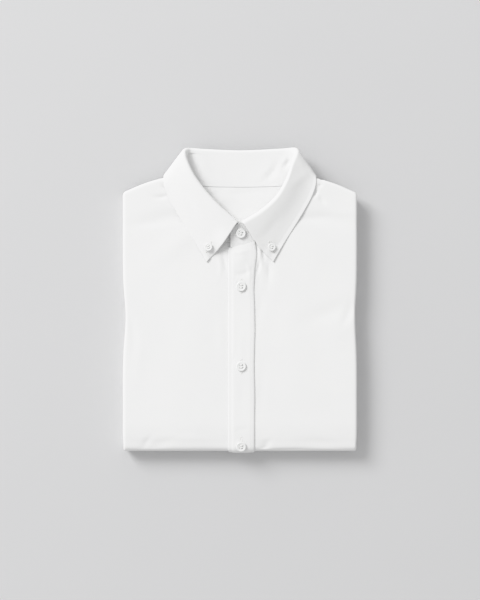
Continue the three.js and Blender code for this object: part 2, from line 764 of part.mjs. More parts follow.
function pointSeat(stations, side) {
  const [first, , third] = (side < 0 ? stations.slice(0, 3) : stations.slice(-3).reverse()).map(leafSection);
  const [above, tip] = first.slice(-2);
  const [beside, edge] = third.slice(-2);
  const inner = above.clone().lerp(beside, pointButtonPlace.across);
  const normal = unit(edge.clone().sub(tip).cross(inner.clone().sub(tip)));
  if (normal.z < 0) normal.negate();
  return { point: inner.lerp(tip, pointButtonPlace.towardsTip), normal };
}

// The shirt

const shirt = new THREE.Group();
const stations = collarStations();
const cloth = 0xf0f0f0;

shirt.add(piece("folded_layers", foldedLayers(), material(cloth, 0.9)));
shirt.add(piece("yoke", yokePanel(), material(cloth, 0.9)));
shirt.add(piece("front_right", frontPanel("right", stations), material(cloth, 0.9)));
shirt.add(piece("front_left", frontPanel("left", stations), material(cloth, 0.9)));
shirt.add(piece("placket", placketStrip(), material(cloth, 0.88)));
shirt.add(piece("collar_stand", collarStand(stations), material(cloth, 0.88)));
shirt.add(piece("collar_leaf", collarLeaf(stations), material(cloth, 0.88)));

for (const { name, y } of placketButtons) {
  const past = Math.max(foldStart - y, 0) / foldRadius;
  const travel = y > foldStart ? foldStart - y : Math.asin(past ** (foldSquareness.over / 2)) * foldRadius;
  const { point, normal } = clothWay(placketButtonX, travel);
  const lift = placketLift + placketCloth / 2 + seamGap;
  shirt.add(buttonOn(name, frontButton, moved(point, [normal, lift]), normal, 8));
}
const stand = standSeat();
const standTop = moved(stand.point, [stand.normal, standCloth / 2 + seamGap]);
shirt.add(buttonOn("button_collar_stand", frontButton, standTop, stand.normal, 20));
for (const [name, side] of [["button_point_right", -1], ["button_point_left", 1]]) {
  const seat = pointSeat(stations, side);
  const top = moved(seat.point, [seat.normal, leafCloth / 2 + seamGap]);
  shirt.add(buttonOn(name, pointButton, top, seat.normal, side * 12));
}

export default shirt;
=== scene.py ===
import math
import bpy
import numpy as np
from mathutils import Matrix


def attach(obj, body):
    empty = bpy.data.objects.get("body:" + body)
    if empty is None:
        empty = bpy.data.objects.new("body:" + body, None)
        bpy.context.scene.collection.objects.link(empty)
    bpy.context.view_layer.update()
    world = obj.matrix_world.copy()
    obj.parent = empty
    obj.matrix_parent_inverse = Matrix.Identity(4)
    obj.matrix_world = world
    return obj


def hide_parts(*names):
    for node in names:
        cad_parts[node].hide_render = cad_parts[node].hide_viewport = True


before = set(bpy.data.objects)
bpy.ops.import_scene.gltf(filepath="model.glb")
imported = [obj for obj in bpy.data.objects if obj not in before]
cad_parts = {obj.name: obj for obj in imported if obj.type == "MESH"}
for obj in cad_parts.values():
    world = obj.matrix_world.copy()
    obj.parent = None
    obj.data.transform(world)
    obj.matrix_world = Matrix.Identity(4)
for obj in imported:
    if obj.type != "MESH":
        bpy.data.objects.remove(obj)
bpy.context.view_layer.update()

# White pique shirt with a button-down collar, folded flat with its front up.
# Sizes are millimetres, and meshes are made in metres. x is to the wearer's left, y towards the collar, z up.
mm = 0.001
up = np.array([0.0, 0.0, 1.0])


# small helpers

def unit(v):
    return v / np.maximum(np.linalg.norm(v, axis=-1, keepdims=True), 1e-9)


def turnedUp(ways):
    return ways * np.where(ways[..., 2:] < 0, -1, 1)


def smooth(x):
    x = np.clip(x, 0, 1)
    return x * x * (3 - 2 * x)


def mix(a, b, share):
    return a + (b - a) * share


def bump(x, width):
    return np.exp(-((x / width) ** 2))


def nearestRows(points, places):  # for each place, the row of the point that is nearest
    return np.argmin(np.linalg.norm(points[None] - places[:, None], axis=2), axis=1)


def fullTurn(sides):
    return np.linspace(0, math.tau, sides, endpoint=False)


def splinePoints(controls, places):  # centripetal curve through the controls, places counted in controls
    p = np.array(controls, float)
    p = np.vstack([2 * p[0] - p[1], p, 2 * p[-1] - p[-2]])
    first = np.clip(np.floor(places).astype(int), 0, len(p) - 4)
    t = (np.asarray(places) - first)[:, None]
    a, b, c, d = (p[first + k] for k in range(4))
    spans = [np.linalg.norm(v - u, axis=1, keepdims=True) ** 0.5 for u, v in ((a, b), (b, c), (c, d))]
    before, here, after = spans
    here = np.where(here < 1e-4, 1.0, here)
    before = np.where(before < 1e-4, here, before)
    after = np.where(after < 1e-4, here, after)
    m1 = ((b - a) / before - (c - a) / (before + here) + (c - b) / here) * here
    m2 = ((c - b) / here - (d - b) / (here + after) + (d - c) / after) * here
    return b + m1 * t + (3 * (c - b) - 2 * m1 - m2) * t ** 2 + (2 * (b - c) + m1 + m2) * t ** 3


def surfaceNormals(grid, towards=None):
    normals = unit(np.cross(np.gradient(grid, axis=1), np.gradient(grid, axis=0)))
    return -normals if towards is not None and np.sum(normals * towards) < 0 else normals


def creaseRelief(x, y, creases):  # soft troughs and ridges: x, y, turn, length, width, height, bend
    total = np.zeros(np.broadcast(x, y).shape)
    for cx, cy, turn, length, width, height, bend in creases:
        a = math.radians(turn)
        along = (x - cx) * math.cos(a) + (y - cy) * math.sin(a)
        across = (y - cy) * math.cos(a) - (x - cx) * math.sin(a) - bend * (along / length) ** 2
        total += height * bump(along, length) * bump(across, width)
    return total


rippleWaves = 9


def ripple(x, y, seed, size):  # slow uneven waves of the cloth, the same on each run
    dice = np.random.default_rng(seed)
    total = np.zeros(np.broadcast(x, y).shape)
    for _ in range(rippleWaves):
        angle, wave = dice.uniform(0, math.tau), size * dice.uniform(0.6, 1.7)
        phase = dice.uniform(0, math.tau)
        total += np.sin((x * math.cos(angle) + y * math.sin(angle)) * math.tau / wave + phase)
    return total / rippleWaves


# materials

def startMaterial(name, fixed):  # a new material, with the sockets that are the same all over
    material = bpy.data.materials.new(name)
    material.use_nodes = True
    shader = material.node_tree.nodes["Principled BSDF"]
    for socket, value in fixed.items():
        shader.inputs[socket].default_value = value
    return material, material.node_tree, shader


def addNode(tree, kind, output, fixed, sources, **choices):  # gives back the output that the next node takes
    node = tree.nodes.new("ShaderNode" + kind)
    for choice, value in choices.items():
        setattr(node, choice, value)
    for socket, value in fixed.items():
        node.inputs[socket].default_value = value
    for socket, source in sources.items():
        tree.links.new(source, node.inputs[socket])
    return node.outputs[output]


def toneRamp(tree, source, look, low=0.0, high=1.0):  # from the look's shade to its white
    tone = addNode(tree, "ValToRGB", "Color", {}, {"Fac": source})
    for element, place, colour in zip(tone.node.color_ramp.elements, (low, high), ("shade", "white")):
        element.position = place
        element.color = (*look[colour], 1)
    return tone


def raiseSurface(tree, shader, height, strength, distance):
    fixed = {"Strength": strength, "Distance": distance}
    raised = addNode(tree, "Bump", "Normal", fixed, {"Height": height})
    tree.links.new(raised, shader.inputs["Normal"])


def clothMaterial(name, look):
    fixed = {"Sheen Weight": look["sheen"], "Sheen Roughness": 0.45, "Specular IOR Level": 0.25}
    material, tree, shader = startMaterial(name, fixed)
    onCloth = {"Vector": addNode(tree, "UVMap", "UV", {}, {}, uv_map="clothWay")}
    waveLook = {"Scale": math.pi / 10 / (look["cell"] * mm), "Distortion": 0.6, "Detail": 1.0,
                "Detail Scale": 3.0}
    ribs = []
    for turn in (45, -45):  # two diagonal ribs cross into the small diamonds of the pique
        place = addNode(tree, "Mapping", "Vector", {"Rotation": (0, 0, math.radians(turn))}, onCloth)
        ribs.append(addNode(tree, "TexWave", "Fac", waveLook, {"Vector": place}))
    cells = addNode(tree, "Math", "Value", {}, dict(enumerate(ribs)), operation="MULTIPLY")
    yarn = addNode(tree, "TexNoise", "Fac", {"Scale": 2600, "Detail": 2}, onCloth)  # fuzz of the cotton yarn
    weave = addNode(tree, "Math", "Value", {1: look["fuzz"]}, {0: yarn, 2: cells}, operation="MULTIPLY_ADD")
    raiseSurface(tree, shader, weave, look["relief"], look["depth"] * mm)

    # faint unevenness of the bleached cotton, and a painted shade a little darker in the gaps between the
    # diamonds
    cloud = addNode(tree, "TexNoise", "Fac", {"Scale": 14, "Detail": 3}, onCloth)
    tone = toneRamp(tree, cloud, look, 0.3, 0.7)
    # painted shade: the colour is kept a little darker in the low gaps between the diamonds
    gapShade = addNode(tree, "MapRange", "Result", {"From Max": 0.3, "To Min": look["gap"]}, {"Value": cells})
    # 6 and 7 are the Mix node's two colours, and 2 is the mixed one
    colour = addNode(tree, "Mix", 2, {"Factor": 1.0}, {6: tone, 7: gapShade}, data_type="RGBA",
                     blend_type="MULTIPLY")
    tree.links.new(colour, shader.inputs["Base Color"])
    rough = addNode(tree, "MapRange", "Result", {"To Min": 0.78, "To Max": 0.92}, {"Value": yarn})
    tree.links.new(rough, shader.inputs["Roughness"])
    return material


def threadMaterial(name, look):
    material, tree, shader = startMaterial(name, {"Roughness": 0.55, "Sheen Weight": 0.2})
    place = addNode(tree, "TexCoord", "Object", {}, {})
    twist = addNode(tree, "TexNoise", "Fac", {"Scale": look["twist"]}, {"Vector": place})
    tree.links.new(toneRamp(tree, twist, look), shader.inputs["Base Color"])
    raiseSurface(tree, shader, twist, 0.3, look["ply"] * mm)
    return material


def buttonMaterial(name, look):  # pearly resin
    material, tree, shader = startMaterial(name, {"Coat Weight": 0.35, "Coat Roughness": 0.12})
    place = addNode(tree, "TexCoord", "Object", {}, {})
    cloud = addNode(tree, "TexNoise", "Fac", {"Scale": 420, "Distortion": 1.6}, {"Vector": place})
    tree.links.new(toneRamp(tree, cloud, look, 0.35, 0.65), shader.inputs["Base Color"])
    gloss = addNode(tree, "MapRange", "Result", {"To Min": 0.2, "To Max": 0.34}, {"Value": cloud})
    tree.links.new(gloss, shader.inputs["Roughness"])
    return material


# cell and depth of the weave and ply of the thread are millimetres
# gap is how much of the colour the painted shade keeps in the gaps between the diamonds
softLook = {"white": (0.905, 0.905, 0.9), "shade": (0.885, 0.885, 0.885), "cell": 1.3, "depth": 0.1,
            "relief": 0.5, "fuzz": 0.35, "gap": 0.96, "sheen": 0.06}
firmLook = {**softLook, "relief": 0.4, "white": (0.91, 0.91, 0.905)}
threadLook = {"white": (0.9, 0.9, 0.89), "shade": (0.8, 0.8, 0.79), "twist": 3000, "ply": 0.05}
resinLook = {"white": (0.9, 0.9, 0.895), "shade": (0.84, 0.845, 0.84)}
piqueCotton = clothMaterial("piqueCotton", softLook)
firmCotton = clothMaterial("firmCotton", firmLook)
sewingThread = threadMaterial("sewingThread", threadLook)
buttonResin = buttonMaterial("buttonResin", resinLook)
print("materials made")


# meshes from grids

def meshPiece(name, points, faces, material, uv=None):
    mesh = bpy.data.meshes.new(name)
    mesh.from_pydata((np.asarray(points) * mm).tolist(), [], faces)
    mesh.polygons.foreach_set("use_smooth", [True] * len(mesh.polygons))
    if uv is not None:
        corners = np.zeros(len(mesh.loops), dtype=np.int32)
        mesh.loops.foreach_get("vertex_index", corners)
        layer = mesh.uv_layers.new(name="clothWay")
        layer.data.foreach_set("uv", (np.asarray(uv)[corners] * mm).astype(np.float32).ravel())
    mesh.materials.append(material)
    mesh.update()
    piece = bpy.data.objects.new(name, mesh)
    bpy.context.scene.collection.objects.link(piece)
    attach(piece, "root")
    return piece


def clothWay(grid):  # how far each point is along and across the cloth
    across = np.linalg.norm(np.diff(grid, axis=1), axis=2)
    along = np.linalg.norm(np.diff(grid, axis=0), axis=2)
    u = np.concatenate([np.zeros((len(grid), 1)), np.cumsum(across, axis=1)], axis=1)
    v = np.concatenate([[0], np.cumsum(along.mean(axis=1))])
    return np.stack([u, np.repeat(v[:, None], grid.shape[1], axis=1)], axis=-1)


def shellArrays(grid, thickness, way=None, flush=()):  # a wall about the grid, its edges rounded or flush
    rows, columns = grid.shape[:2]
    half = thickness / 2
    body = grid.copy()
    # the wall's faces stop short of the edge by half its thickness
    edges = ((0, 1, "firstRow", "firstColumn"), (-1, -2, "lastRow", "lastColumn"))
    for here, inside, rowEdge, columnEdge in edges:
        if rowEdge not in flush:
            body[here] -= unit(grid[here] - grid[inside]) * half
        if columnEdge not in flush:
            body[:, here] -= unit(grid[:, here] - grid[:, inside]) * half
    shift = surfaceNormals(grid) * half
    number = np.arange(rows * columns).reshape(rows, columns)
    corners = (number[:-1, :-1], number[:-1, 1:], number[1:, 1:], number[1:, :-1])
    quads = np.stack(corners, axis=-1).reshape(-1, 4)
    rim = np.concatenate([number[0, :-1], number[:-1, -1], number[-1, :0:-1], number[:0:-1, 0]])
    count = rows * columns
    top, low, middle = rim, rim + count, 2 * count + np.arange(len(rim))
    nextTop, nextLow, nextMiddle = (np.roll(ring, -1) for ring in (top, low, middle))
    faces = [quads, quads[:, ::-1] + count, np.stack([nextTop, top, middle, nextMiddle], axis=-1),
             np.stack([nextMiddle, middle, low, nextLow], axis=-1)]
    sheets = [(body + shift).reshape(-1, 3), (body - shift).reshape(-1, 3), grid.reshape(-1, 3)[rim]]
    uv = (clothWay(grid) if way is None else way).reshape(-1, 2)
    return np.concatenate(sheets), np.concatenate(faces), np.concatenate([uv, uv, uv[rim]])


def facingOut(points, faces):  # turns the faces round if they look inwards
    a, b, c, d = (points[faces[:, k]] for k in range(4))
    volume = np.sum(a * np.cross(b, c)) + np.sum(a * np.cross(c, d))
    return faces if volume > 0 else faces[:, ::-1]


softCorner = math.radians(55)  # sharper edges than this stay sharp


def clothPiece(name, node, grids, thickness, material, way=None, flush=()):  # takes the place of a CAD node
    points, faces, uvs, count = [], [], [], 0
    for grid in grids:
        p, f, uv = shellArrays(grid, thickness, way, flush)
        faces.append(facingOut(p, f) + count)
        points.append(p)
        uvs.append(uv)
        count += len(p)
    piece = meshPiece(name, np.concatenate(points), np.concatenate(faces).tolist(), material,
                      np.concatenate(uvs))
    piece.data.set_sharp_from_angle(angle=softCorner)
    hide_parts(node)
    return piece


# sewing

stitchSizes = {"pitch": 2.6, "length": 2.1, "radius": 0.17, "sink": 0.1}
beadSides = 6
beadProfile = [(-0.5, 0.35, -1.0), (-0.36, 0.85, -0.25), (0, 1, 0.25), (0.36, 0.85, -0.25), (0.5, 0.35, -1.0)]


def threadBeads(centres, ways, ups, sizes):  # one small bowed thread for each stitch
    radius, sideways = sizes["radius"], np.cross(ups, ways)
    rings = []
    for along, wide, lift in beadProfile:  # along the thread, thickness and rise
        middle = centres + ways * along * sizes["length"] + ups * (lift * radius - sizes["sink"])
        for turn in fullTurn(beadSides):
            rings.append(middle + (sideways * math.cos(turn) + ups * math.sin(turn)) * radius * wide)
    return np.stack(rings, axis=1)


def tubeFaces(rings, sides):  # a closed wall along rings of points, with a cap at each end
    last = (rings - 1) * sides
    pairs = [(ring + k, ring + (k + 1) % sides) for ring in range(0, last, sides) for k in range(sides)]
    walls = [(a, b, b + sides, a + sides) for a, b in pairs]
    return walls + [tuple(range(sides))[::-1], tuple(range(last, last + sides))]


def threadPiece(name, runs):  # runs of (centres, ways, ups, sizes)
    beads = np.concatenate([threadBeads(*run) for run in runs])
    size, tube = beads.shape[1], tubeFaces(len(beadProfile), beadSides)
    faces = [tuple(i + size * number for i in face) for number in range(len(beads)) for face in tube]
    return meshPiece(name, beads.reshape(-1, 3), faces, sewingThread)


def seamRun(path, ups, sizes=stitchSizes):  # stitches at even spacing along a line that lies on the cloth
    steps = np.concatenate([[0], np.cumsum(np.linalg.norm(np.diff(path, axis=0), axis=1))])
    places = np.arange(sizes["pitch"] / 2, steps[-1], sizes["pitch"])
    centres = np.stack([np.interp(places, steps, path[:, k]) for k in range(3)], axis=-1)
    return centres, unit(np.gradient(centres, axis=0)), ups[nearestRows(path, centres)], sizes


# the folded outline and the way of the cloth over the stack

outline = {"halfWidth": 135.1, "leftMore": 1.1, "waistHeight": -21, "waistLength": 34, "dipRight": 3,
           "dipLeft": 2, "shoulderX": 97, "shoulderY": 139.2, "shoulderSlope": 0.28, "shoulderBend": 0.0032,
           "cornerRadius": 5.5, "cornerTurn": 70, "tailHem": 119}
stack = {"top": 23, "foldStart": -164.8, "settleLength": 22, "settleDrop": 0.8, "curlRadius": 4.6,
         "turnBack": 10, "yokeTop": 17, "upperSquareness": 4.4, "lowerSquareness": 2.6, "sideSquareness": 4}
# a shallow trough across the front, where the cloth goes into the bottom fold
foldTrough = {"past": 7, "width": 8, "depth": 1.4, "placketShare": 0.25, "placketReach": 15}
reliefFade = {"creases": 20, "ripples": 30, "underStart": 0.8, "underLength": 8}
frontRipples = [(3, 70, 0.14), (4, 24, 0.05)]  # seed, size, height
frontCloth = 1.2
placketCloth = 1.1
seamGap = 0.3
placketRise = 1.9  # middle of the placket over the middle of the front
edgeRise = 1.17
recess = {"depth": 1.9, "turn": 0.42, "edge": 1}  # what the fronts give way under the placket
foldRadius = (stack["top"] - stack["settleDrop"] - frontCloth) / 2
foldLength = math.pi * foldRadius

placketSizes = {"right": -12.8, "left": 17.4, "ramp": 7}
placketCentre = (placketSizes["right"] + placketSizes["left"]) / 2
placketHalf = (placketSizes["left"] - placketSizes["right"]) / 2

# x, y, turn, length, width, height, bend. Below the bottom fold, y goes on along the cloth.
mainFolds = [
    (-86, 95, 8, 30, 8, -0.9, 0),
    (94, 94, -7, 34, 8, -0.8, 0),
    (-66, 70, 35, 34, 12, 0.7, 0),
    (70, 66, -40, 36, 12, 0.8, 0),
    (34, 34, 84, 22, 6, -0.6, 0),
    (-52, -40, 76, 70, 22, 0.6, 0),
    (66, -70, 98, 66, 24, 0.7, 0),
    (104, -14, 20, 26, 9, -0.7, 0),
]
smallFolds = [
    (-87.4, 131.5, -52, 4.5, 1.5, -1.1, 0.6),
    (-90, 119, 6, 9, 2.6, -0.8, 1.5),
    (-66, 91, -28, 12, 4, -0.35, 2),
    (-108, 88, 4, 18, 4, -0.3, 0),
    (93.4, 133, 56, 4, 1.5, -1.1, 0.5),
    (95.6, 115.5, -52, 6, 2.6, -0.8, 1),
    (87.8, 124, 62, 4, 2.2, -2.0, 0),
    (84, 95, 4, 24, 4.5, -0.4, 1.5),
    (118, 101, 0, 14, 4, 0.3, 0),
    (23.8, 51, 94, 12, 2.0, 1.0, -1.2),
    (27.4, 54, 98, 9, 1.8, -0.9, -1.2),
    (22.4, 38.5, 77, 8, 1.6, -1.1, 0.6),
    (34, 33, 92, 9, 2.0, -0.6, 0),
    (-17.6, 46.5, 109, 9, 1.9, -1.0, 1),
    (-22.4, 42, 102, 12, 2.6, 0.5, 2.2),
    (24, -8, 82, 15, 4, -0.3, 0),
    (22, 24, 88, 18, 4, -0.3, 0),
    (26, -104, 86, 26, 5, -0.22, 0),
    (-22, -40, 92, 30, 5, 0.2, 0),
    (125, -19, 66, 16, 5, -0.9, 2),
    (119, -30, 50, 12, 6, 0.4, 0),
    (-124, -34, 100, 26, 5, -0.45, 2),
    (-117, -70, 84, 24, 7, 0.3, 0),
    (30, -167, 20, 6, 3.4, -1.1, 1),
    (-96, -166, 8, 20, 3.5, -0.55, 2),
    (-60, -160, -4, 26, 4.5, 0.3, 0),
    (96, -164, -6, 22, 4, -0.5, -2),
    (-107, -163, 40, 6, 2.6, -0.8, 0),
    (60, -172, 3, 20, 4, -0.4, 0),
]
# the hidden underside: troughs alone, because it rests flat
underFolds = [
    (-70, -260, 12, 40, 9, -0.7, 3),
    (64, -300, -16, 46, 10, -0.6, -4),
    (-96, -360, 80, 50, 8, -0.5, 3),
    (88, -400, 96, 44, 9, -0.6, 0),
    (-40, -440, 24, 30, 7, -0.5, 2),
    (36, -236, -70, 24, 6, -0.5, 0),
]


def halfWidth(side):
    return outline["halfWidth"] + (outline["leftMore"] if side > 0 else 0)


def sideReach(y, side):
    dip = outline["dipLeft"] if side > 0 else outline["dipRight"]
    return halfWidth(side) - dip * bump(y - outline["waistHeight"], outline["waistLength"])


def shoulderHeight(x):
    out = x - outline["shoulderX"]
    bend = outline["shoulderBend"] * np.maximum(out, 0) ** 2
    return outline["shoulderY"] - outline["shoulderSlope"] * out - bend


def frontRelief(x, y):  # y goes on below the bottom fold, along the cloth
    above = y - stack["foldStart"]
    relief = creaseRelief(x, y, mainFolds) * smooth(above / reliefFade["creases"] + 0.5)
    relief += creaseRelief(x, y, smallFolds + underFolds)
    waves = sum(height * ripple(x, y, seed, size) for seed, size, height in frontRipples)
    relief += waves * smooth(above / reliefFade["ripples"] + 1)
    share = 1 - (1 - foldTrough["placketShare"]) * bump(x - placketCentre, foldTrough["placketReach"])
    return relief - foldTrough["depth"] * share * bump(above + foldTrough["past"], foldTrough["width"])


def foldArc(turn, upper, lower):  # a fold a little squarer than a half circle: way out, rise and its normal
    power = np.where(np.cos(turn) >= 0, upper, lower)
    out = np.maximum(np.sin(turn), 0) ** (2 / power)
    rise = np.sign(np.cos(turn)) * np.abs(np.cos(turn)) ** (2 / power)
    return out, rise, out ** (power - 1), np.sign(rise) * np.abs(rise) ** (power - 1)


def clothPlace(x, travel):  # middle of the front cloth, and its normal, with no relief
    start, turn = stack["foldStart"], np.clip(travel / foldRadius, 0, math.pi)
    settled = smooth((stack["settleLength"] + travel) / stack["settleLength"])
    flat = stack["top"] - frontCloth / 2 - stack["settleDrop"] * settled
    level = np.stack([x + 0 * travel, start - travel, flat], axis=-1)
    ahead, rise, aheadWay, riseWay = foldArc(turn, stack["upperSquareness"], stack["lowerSquareness"])
    bentY = start + np.maximum(travel - foldLength, 0) - foldRadius * ahead
    bent = np.stack([x + 0 * turn, bentY, frontCloth / 2 + foldRadius * (1 + rise)], axis=-1)
    normal = np.stack([0 * turn + 0 * x, -aheadWay, riseWay], axis=-1)
    return np.where((travel < 0)[..., None], level, bent), unit(normal)


def underShare(travel):  # comes to 1 where the cloth has turned under
    return smooth((travel - foldLength * reliefFade["underStart"]) / reliefFade["underLength"])


def recessAt(x, travel):  # the fronts give way under the placket, so that the underside rests flat
    turned = smooth((travel / foldRadius - math.pi / 2) / (math.pi * recess["turn"]))
    outside = np.abs(x - placketCentre) - placketHalf
    return recess["depth"] * turned * (1 - smooth((outside - recess["edge"]) / placketSizes["ramp"]))


# the collar

collar = {"centre": 0.6, "leafCloth": 1.1, "standCloth": 1.4, "innerLeg": 3.0, "endLeg": 0.5,
          "legFade": 1.4, "standDrop": 0.04, "underDrop": 1.6, "tipDrop": 0.45, "edgeSeam": 5.6,
          "groove": 0.08, "edgePuff": 0.03, "puffInset": 2.8, "crownRight": 0.8, "crownLeft": -1.1,
          "leanLeft": 2.2, "sideCrown": 0.2, "grooveWidth": 0.9, "puffWidth": 1.6, "creasesAbove": 18}
# the wearer's left side lies looser and laps over, and the right side is rolled tighter
sideLook = {"looseX": 4.6, "looseY": -3.4, "seamLoose": 0.6, "lapLift": 2.4, "seamLift": 0.58,
            "slimRight": 0.9}
# the front edges bow, and the right one stands off the stand and comes down on the front towards its point
frontEdges = {"bow": 2.0, "bowReach": 0.9, "bowPower": 1.5, "lift": 2.0, "liftAt": 0.32, "liftWidth": 0.2,
              "liftReach": 11, "sink": 2.8, "sinkAt": 0.62, "sinkWidth": 0.17, "sinkReach": 8}
leafColumns = {"middle": 20, "edgeBand": 9, "edge": (8, 7.2, 6.4, 5.6, 4.8, 4, 3, 2, 1, 0)}

# half of the collar from the centre front to the centre back: crest, tip, seam, tilt, roll, loose, lap
collarRows = [
    ((2.2, 90.0, 28.0), (38.4, 43.6, 24.7), (6.0, 64.8, 22.7), 0, 4.0, 0, 1),
    ((22.0, 107.5, 28.6), (51.2, 65.6, 24.5), (39.0, 82.0, 22.9), 0, 4.0, 0.8, 0.35),
    ((38.3, 124.7, 28.6), (62.8, 84.1, 24.4), (60.0, 104.5, 22.9), 0, 4.0, 1, 0),
    ((52.0, 143.2, 28.4), (74.5, 103.2, 24.3), (69.2, 120.4, 22.9), 0, 3.9, 0.5, 0),
    ((59.5, 158.3, 27.6), (83.0, 119.0, 24.3), (72.6, 129.9, 22.8), 8, 3.7, 0, 0),
    ((62.8, 168.3, 26.2), (87.8, 133.0, 24.3), (72.9, 133.4, 22.3), 30, 3.4, 0, 0),
    ((63.3, 173.2, 24.0), (88.3, 141.6, 22.6), (72.6, 135.2, 21.2), 62, 3.1, 0, 0),
    ((62.2, 175.4, 21.2), (88.2, 143.8, 17.4), (71.3, 136.0, 19.4), 90, 2.9, 0, 0),
    ((60.5, 176.0, 18.6), (86.5, 141.4, 12.4), (68.8, 135.4, 17.8), 118, 2.6, 0, 0),
    ((57.0, 175.9, 16.6), (82.5, 135.5, 10.6), (64.4, 134.2, 16.8), 150, 2.4, 0, 0),
    ((41.0, 174.8, 15.6), (63.8, 126.5, 9.8), (41.0, 132.0, 16.5), 180, 2.2, 0, 0),
    ((0.0, 173.2, 15.5), (0.0, 124.3, 9.7), (0.0, 131.1, 16.4), 180, 2.2, 0, 0),
]
underLap = [((-0.6, 88.0, 23.6), (-3.4, 64.9, 21.1)), ((9.4, 88.0, 23.6), (9.4, 66.6, 21.1))]
upperLap = [
    ((1.6, 88.0, 26.5), (4.6, 64.4, 24.1)),
    ((-3.6, 86.6, 26.4), (-4.6, 62.3, 24.1)),
    ((-8.8, 82.2, 26.2), (-8.6, 61.0, 24.1)),
    ((-10.6, 77.0, 25.7), (-11.2, 60.3, 24.1)),
]
lastPlace = 2 * (len(collarRows) - 1)


def halfStation(row, side):  # side -1 is the wearer's right, 1 the left
    *corners, tilt, roll, loose, lap = row
    crest, tip, seam = (np.array(p) * (side, 1, 1) + (collar["centre"], 0, 0) for p in corners)
    onLeft = max(side, 0)
    shift = np.array([sideLook["looseX"], sideLook["looseY"], 0]) * loose * onLeft
    lift = up * lap * onLeft * sideLook["lapLift"]
    crest, tip = crest + shift + lift, tip - up * collar["tipDrop"]
    seam = seam + shift * sideLook["seamLoose"] + lift * sideLook["seamLift"]
    seam = seam - up * (1 - onLeft) * lap * collar["underDrop"]
    middle = unit(((seam + tip) / 2 - crest) * (1, 1, 0))
    outward = np.array([middle[1], -middle[0], 0]) * -side
    angle = math.radians(tilt)
    normal = up * math.cos(angle) + outward * math.sin(angle)
    slim = (1 - onLeft) * sideLook["slimRight"] * math.sqrt(1 - abs(math.cos(angle)))
    return {"crest": crest - normal * slim, "tip": tip, "seam": seam, "normal": normal, "roll": roll - slim,
            "level": math.cos(angle), "side": side}


def collarStations(places):
    rows = [halfStation(row, -1) for row in collarRows] + [halfStation(row, 1) for row in collarRows[-2::-1]]
    found = {}
    for key in ("crest", "tip", "seam", "normal"):
        found[key] = splinePoints([row[key] for row in rows], places)
    found["normal"] = unit(found["normal"])
    for key in ("roll", "level", "side"):
        found[key] = np.interp(places, range(lastPlace + 1), [row[key] for row in rows])[:, None]
    crest, normal, roll = found["crest"], found["normal"], found["roll"]
    found["down"] = unit(found["seam"] - (crest - normal * roll))
    found["out"] = unit(found["tip"] - (crest + normal * roll))
    return found


def legLength(places):  # how far the leaf goes down inside the collar, least at the two front ends
    fromEnd = np.minimum(places, lastPlace - places)
    return mix(collar["endLeg"], collar["innerLeg"], smooth(fromEnd / collar["legFade"]))[:, None]


def leafGrid(places):  # columns go up inside the collar, over the roll and down to the outer edge
    s = collarStations(places)
    leg = legLength(places)
    crest, tip, normal = s["crest"], s["tip"], s["normal"]
    roll, down, out = s["roll"], s["down"], s["out"]
    columns = [crest + down * (roll + leg * share) - normal * roll for share in (1, 0.5)]
    for turn in np.radians(np.arange(-90, 91, 10)):
        heading = unit(mix(down, out, turn / math.pi + 0.5))
        columns.append(crest + heading * roll * (1 - math.cos(turn)) + normal * roll * math.sin(turn))
    start, rollColumns = columns[-1], len(columns)
    length = np.linalg.norm(tip - start, axis=1, keepdims=True)
    onLeft = (s["side"] + 1) / 2
    crown = mix(collar["crownRight"], collar["crownLeft"], onLeft)
    bulge = crown * np.maximum(s["level"], 0) + collar["sideCrown"] * (1 - np.abs(s["level"]))
    lean = mix(1, collar["leanLeft"], onLeft)  # the left one is hollow towards its outer edge
    bow = sum(unit(tip[end] - tip[inside]) * bump(fromEnd, frontEdges["bowReach"])[:, None]
              for end, inside, fromEnd in ((0, 3, places), (-1, -4, lastPlace - places)))
    steps = np.arange(1, leafColumns["middle"] + 1) / leafColumns["middle"]
    shares = [(1 - leafColumns["edgeBand"] / length) * step for step in steps]
    for share in shares + [1 - inset / length for inset in leafColumns["edge"]]:
        bowed = bow * frontEdges["bow"] * np.sin(math.pi * share) ** frontEdges["bowPower"]
        columns.append(mix(start, tip, share) + normal * bulge * np.sin(math.pi * share ** lean) + bowed)
    return np.stack(columns, axis=1), rollColumns


leafFolds = [
    (-44, 96, -60, 22, 6, 0.35, 2),
    (-58, 118, -62, 20, 7, -0.35, -2),
    (-30, 70, -55, 16, 5, -0.3, 0),
    (48, 98, 58, 24, 8, -0.35, 3),
    (34, 80, 50, 16, 5, -0.3, 2),
    (62, 112, 64, 22, 6, -0.3, 2),
    (40, 62, 20, 10, 3.4, -0.45, 1),
    (33, 56, 84, 9, 3, 0.4, -1),
    (-33, 55, 70, 8, 3, 0.3, 1),
    (70, 140, 40, 16, 5, 0.35, 0),
    (-72, 138, -40, 16, 5, 0.3, 0),
]
places = np.concatenate([np.linspace(0, 0.5, 11)[:-1], np.linspace(0.5, lastPlace - 0.5, 190),
                         np.linspace(lastPlace - 0.5, lastPlace, 11)[1:]])
leafRipple = {"seed": 8, "size": 46, "height": 0.16}
leafMiddle, rollColumns = leafGrid(places)
leafNormals = surfaceNormals(leafMiddle)
leafNormals *= np.sign(leafNormals[3, -5, 2])


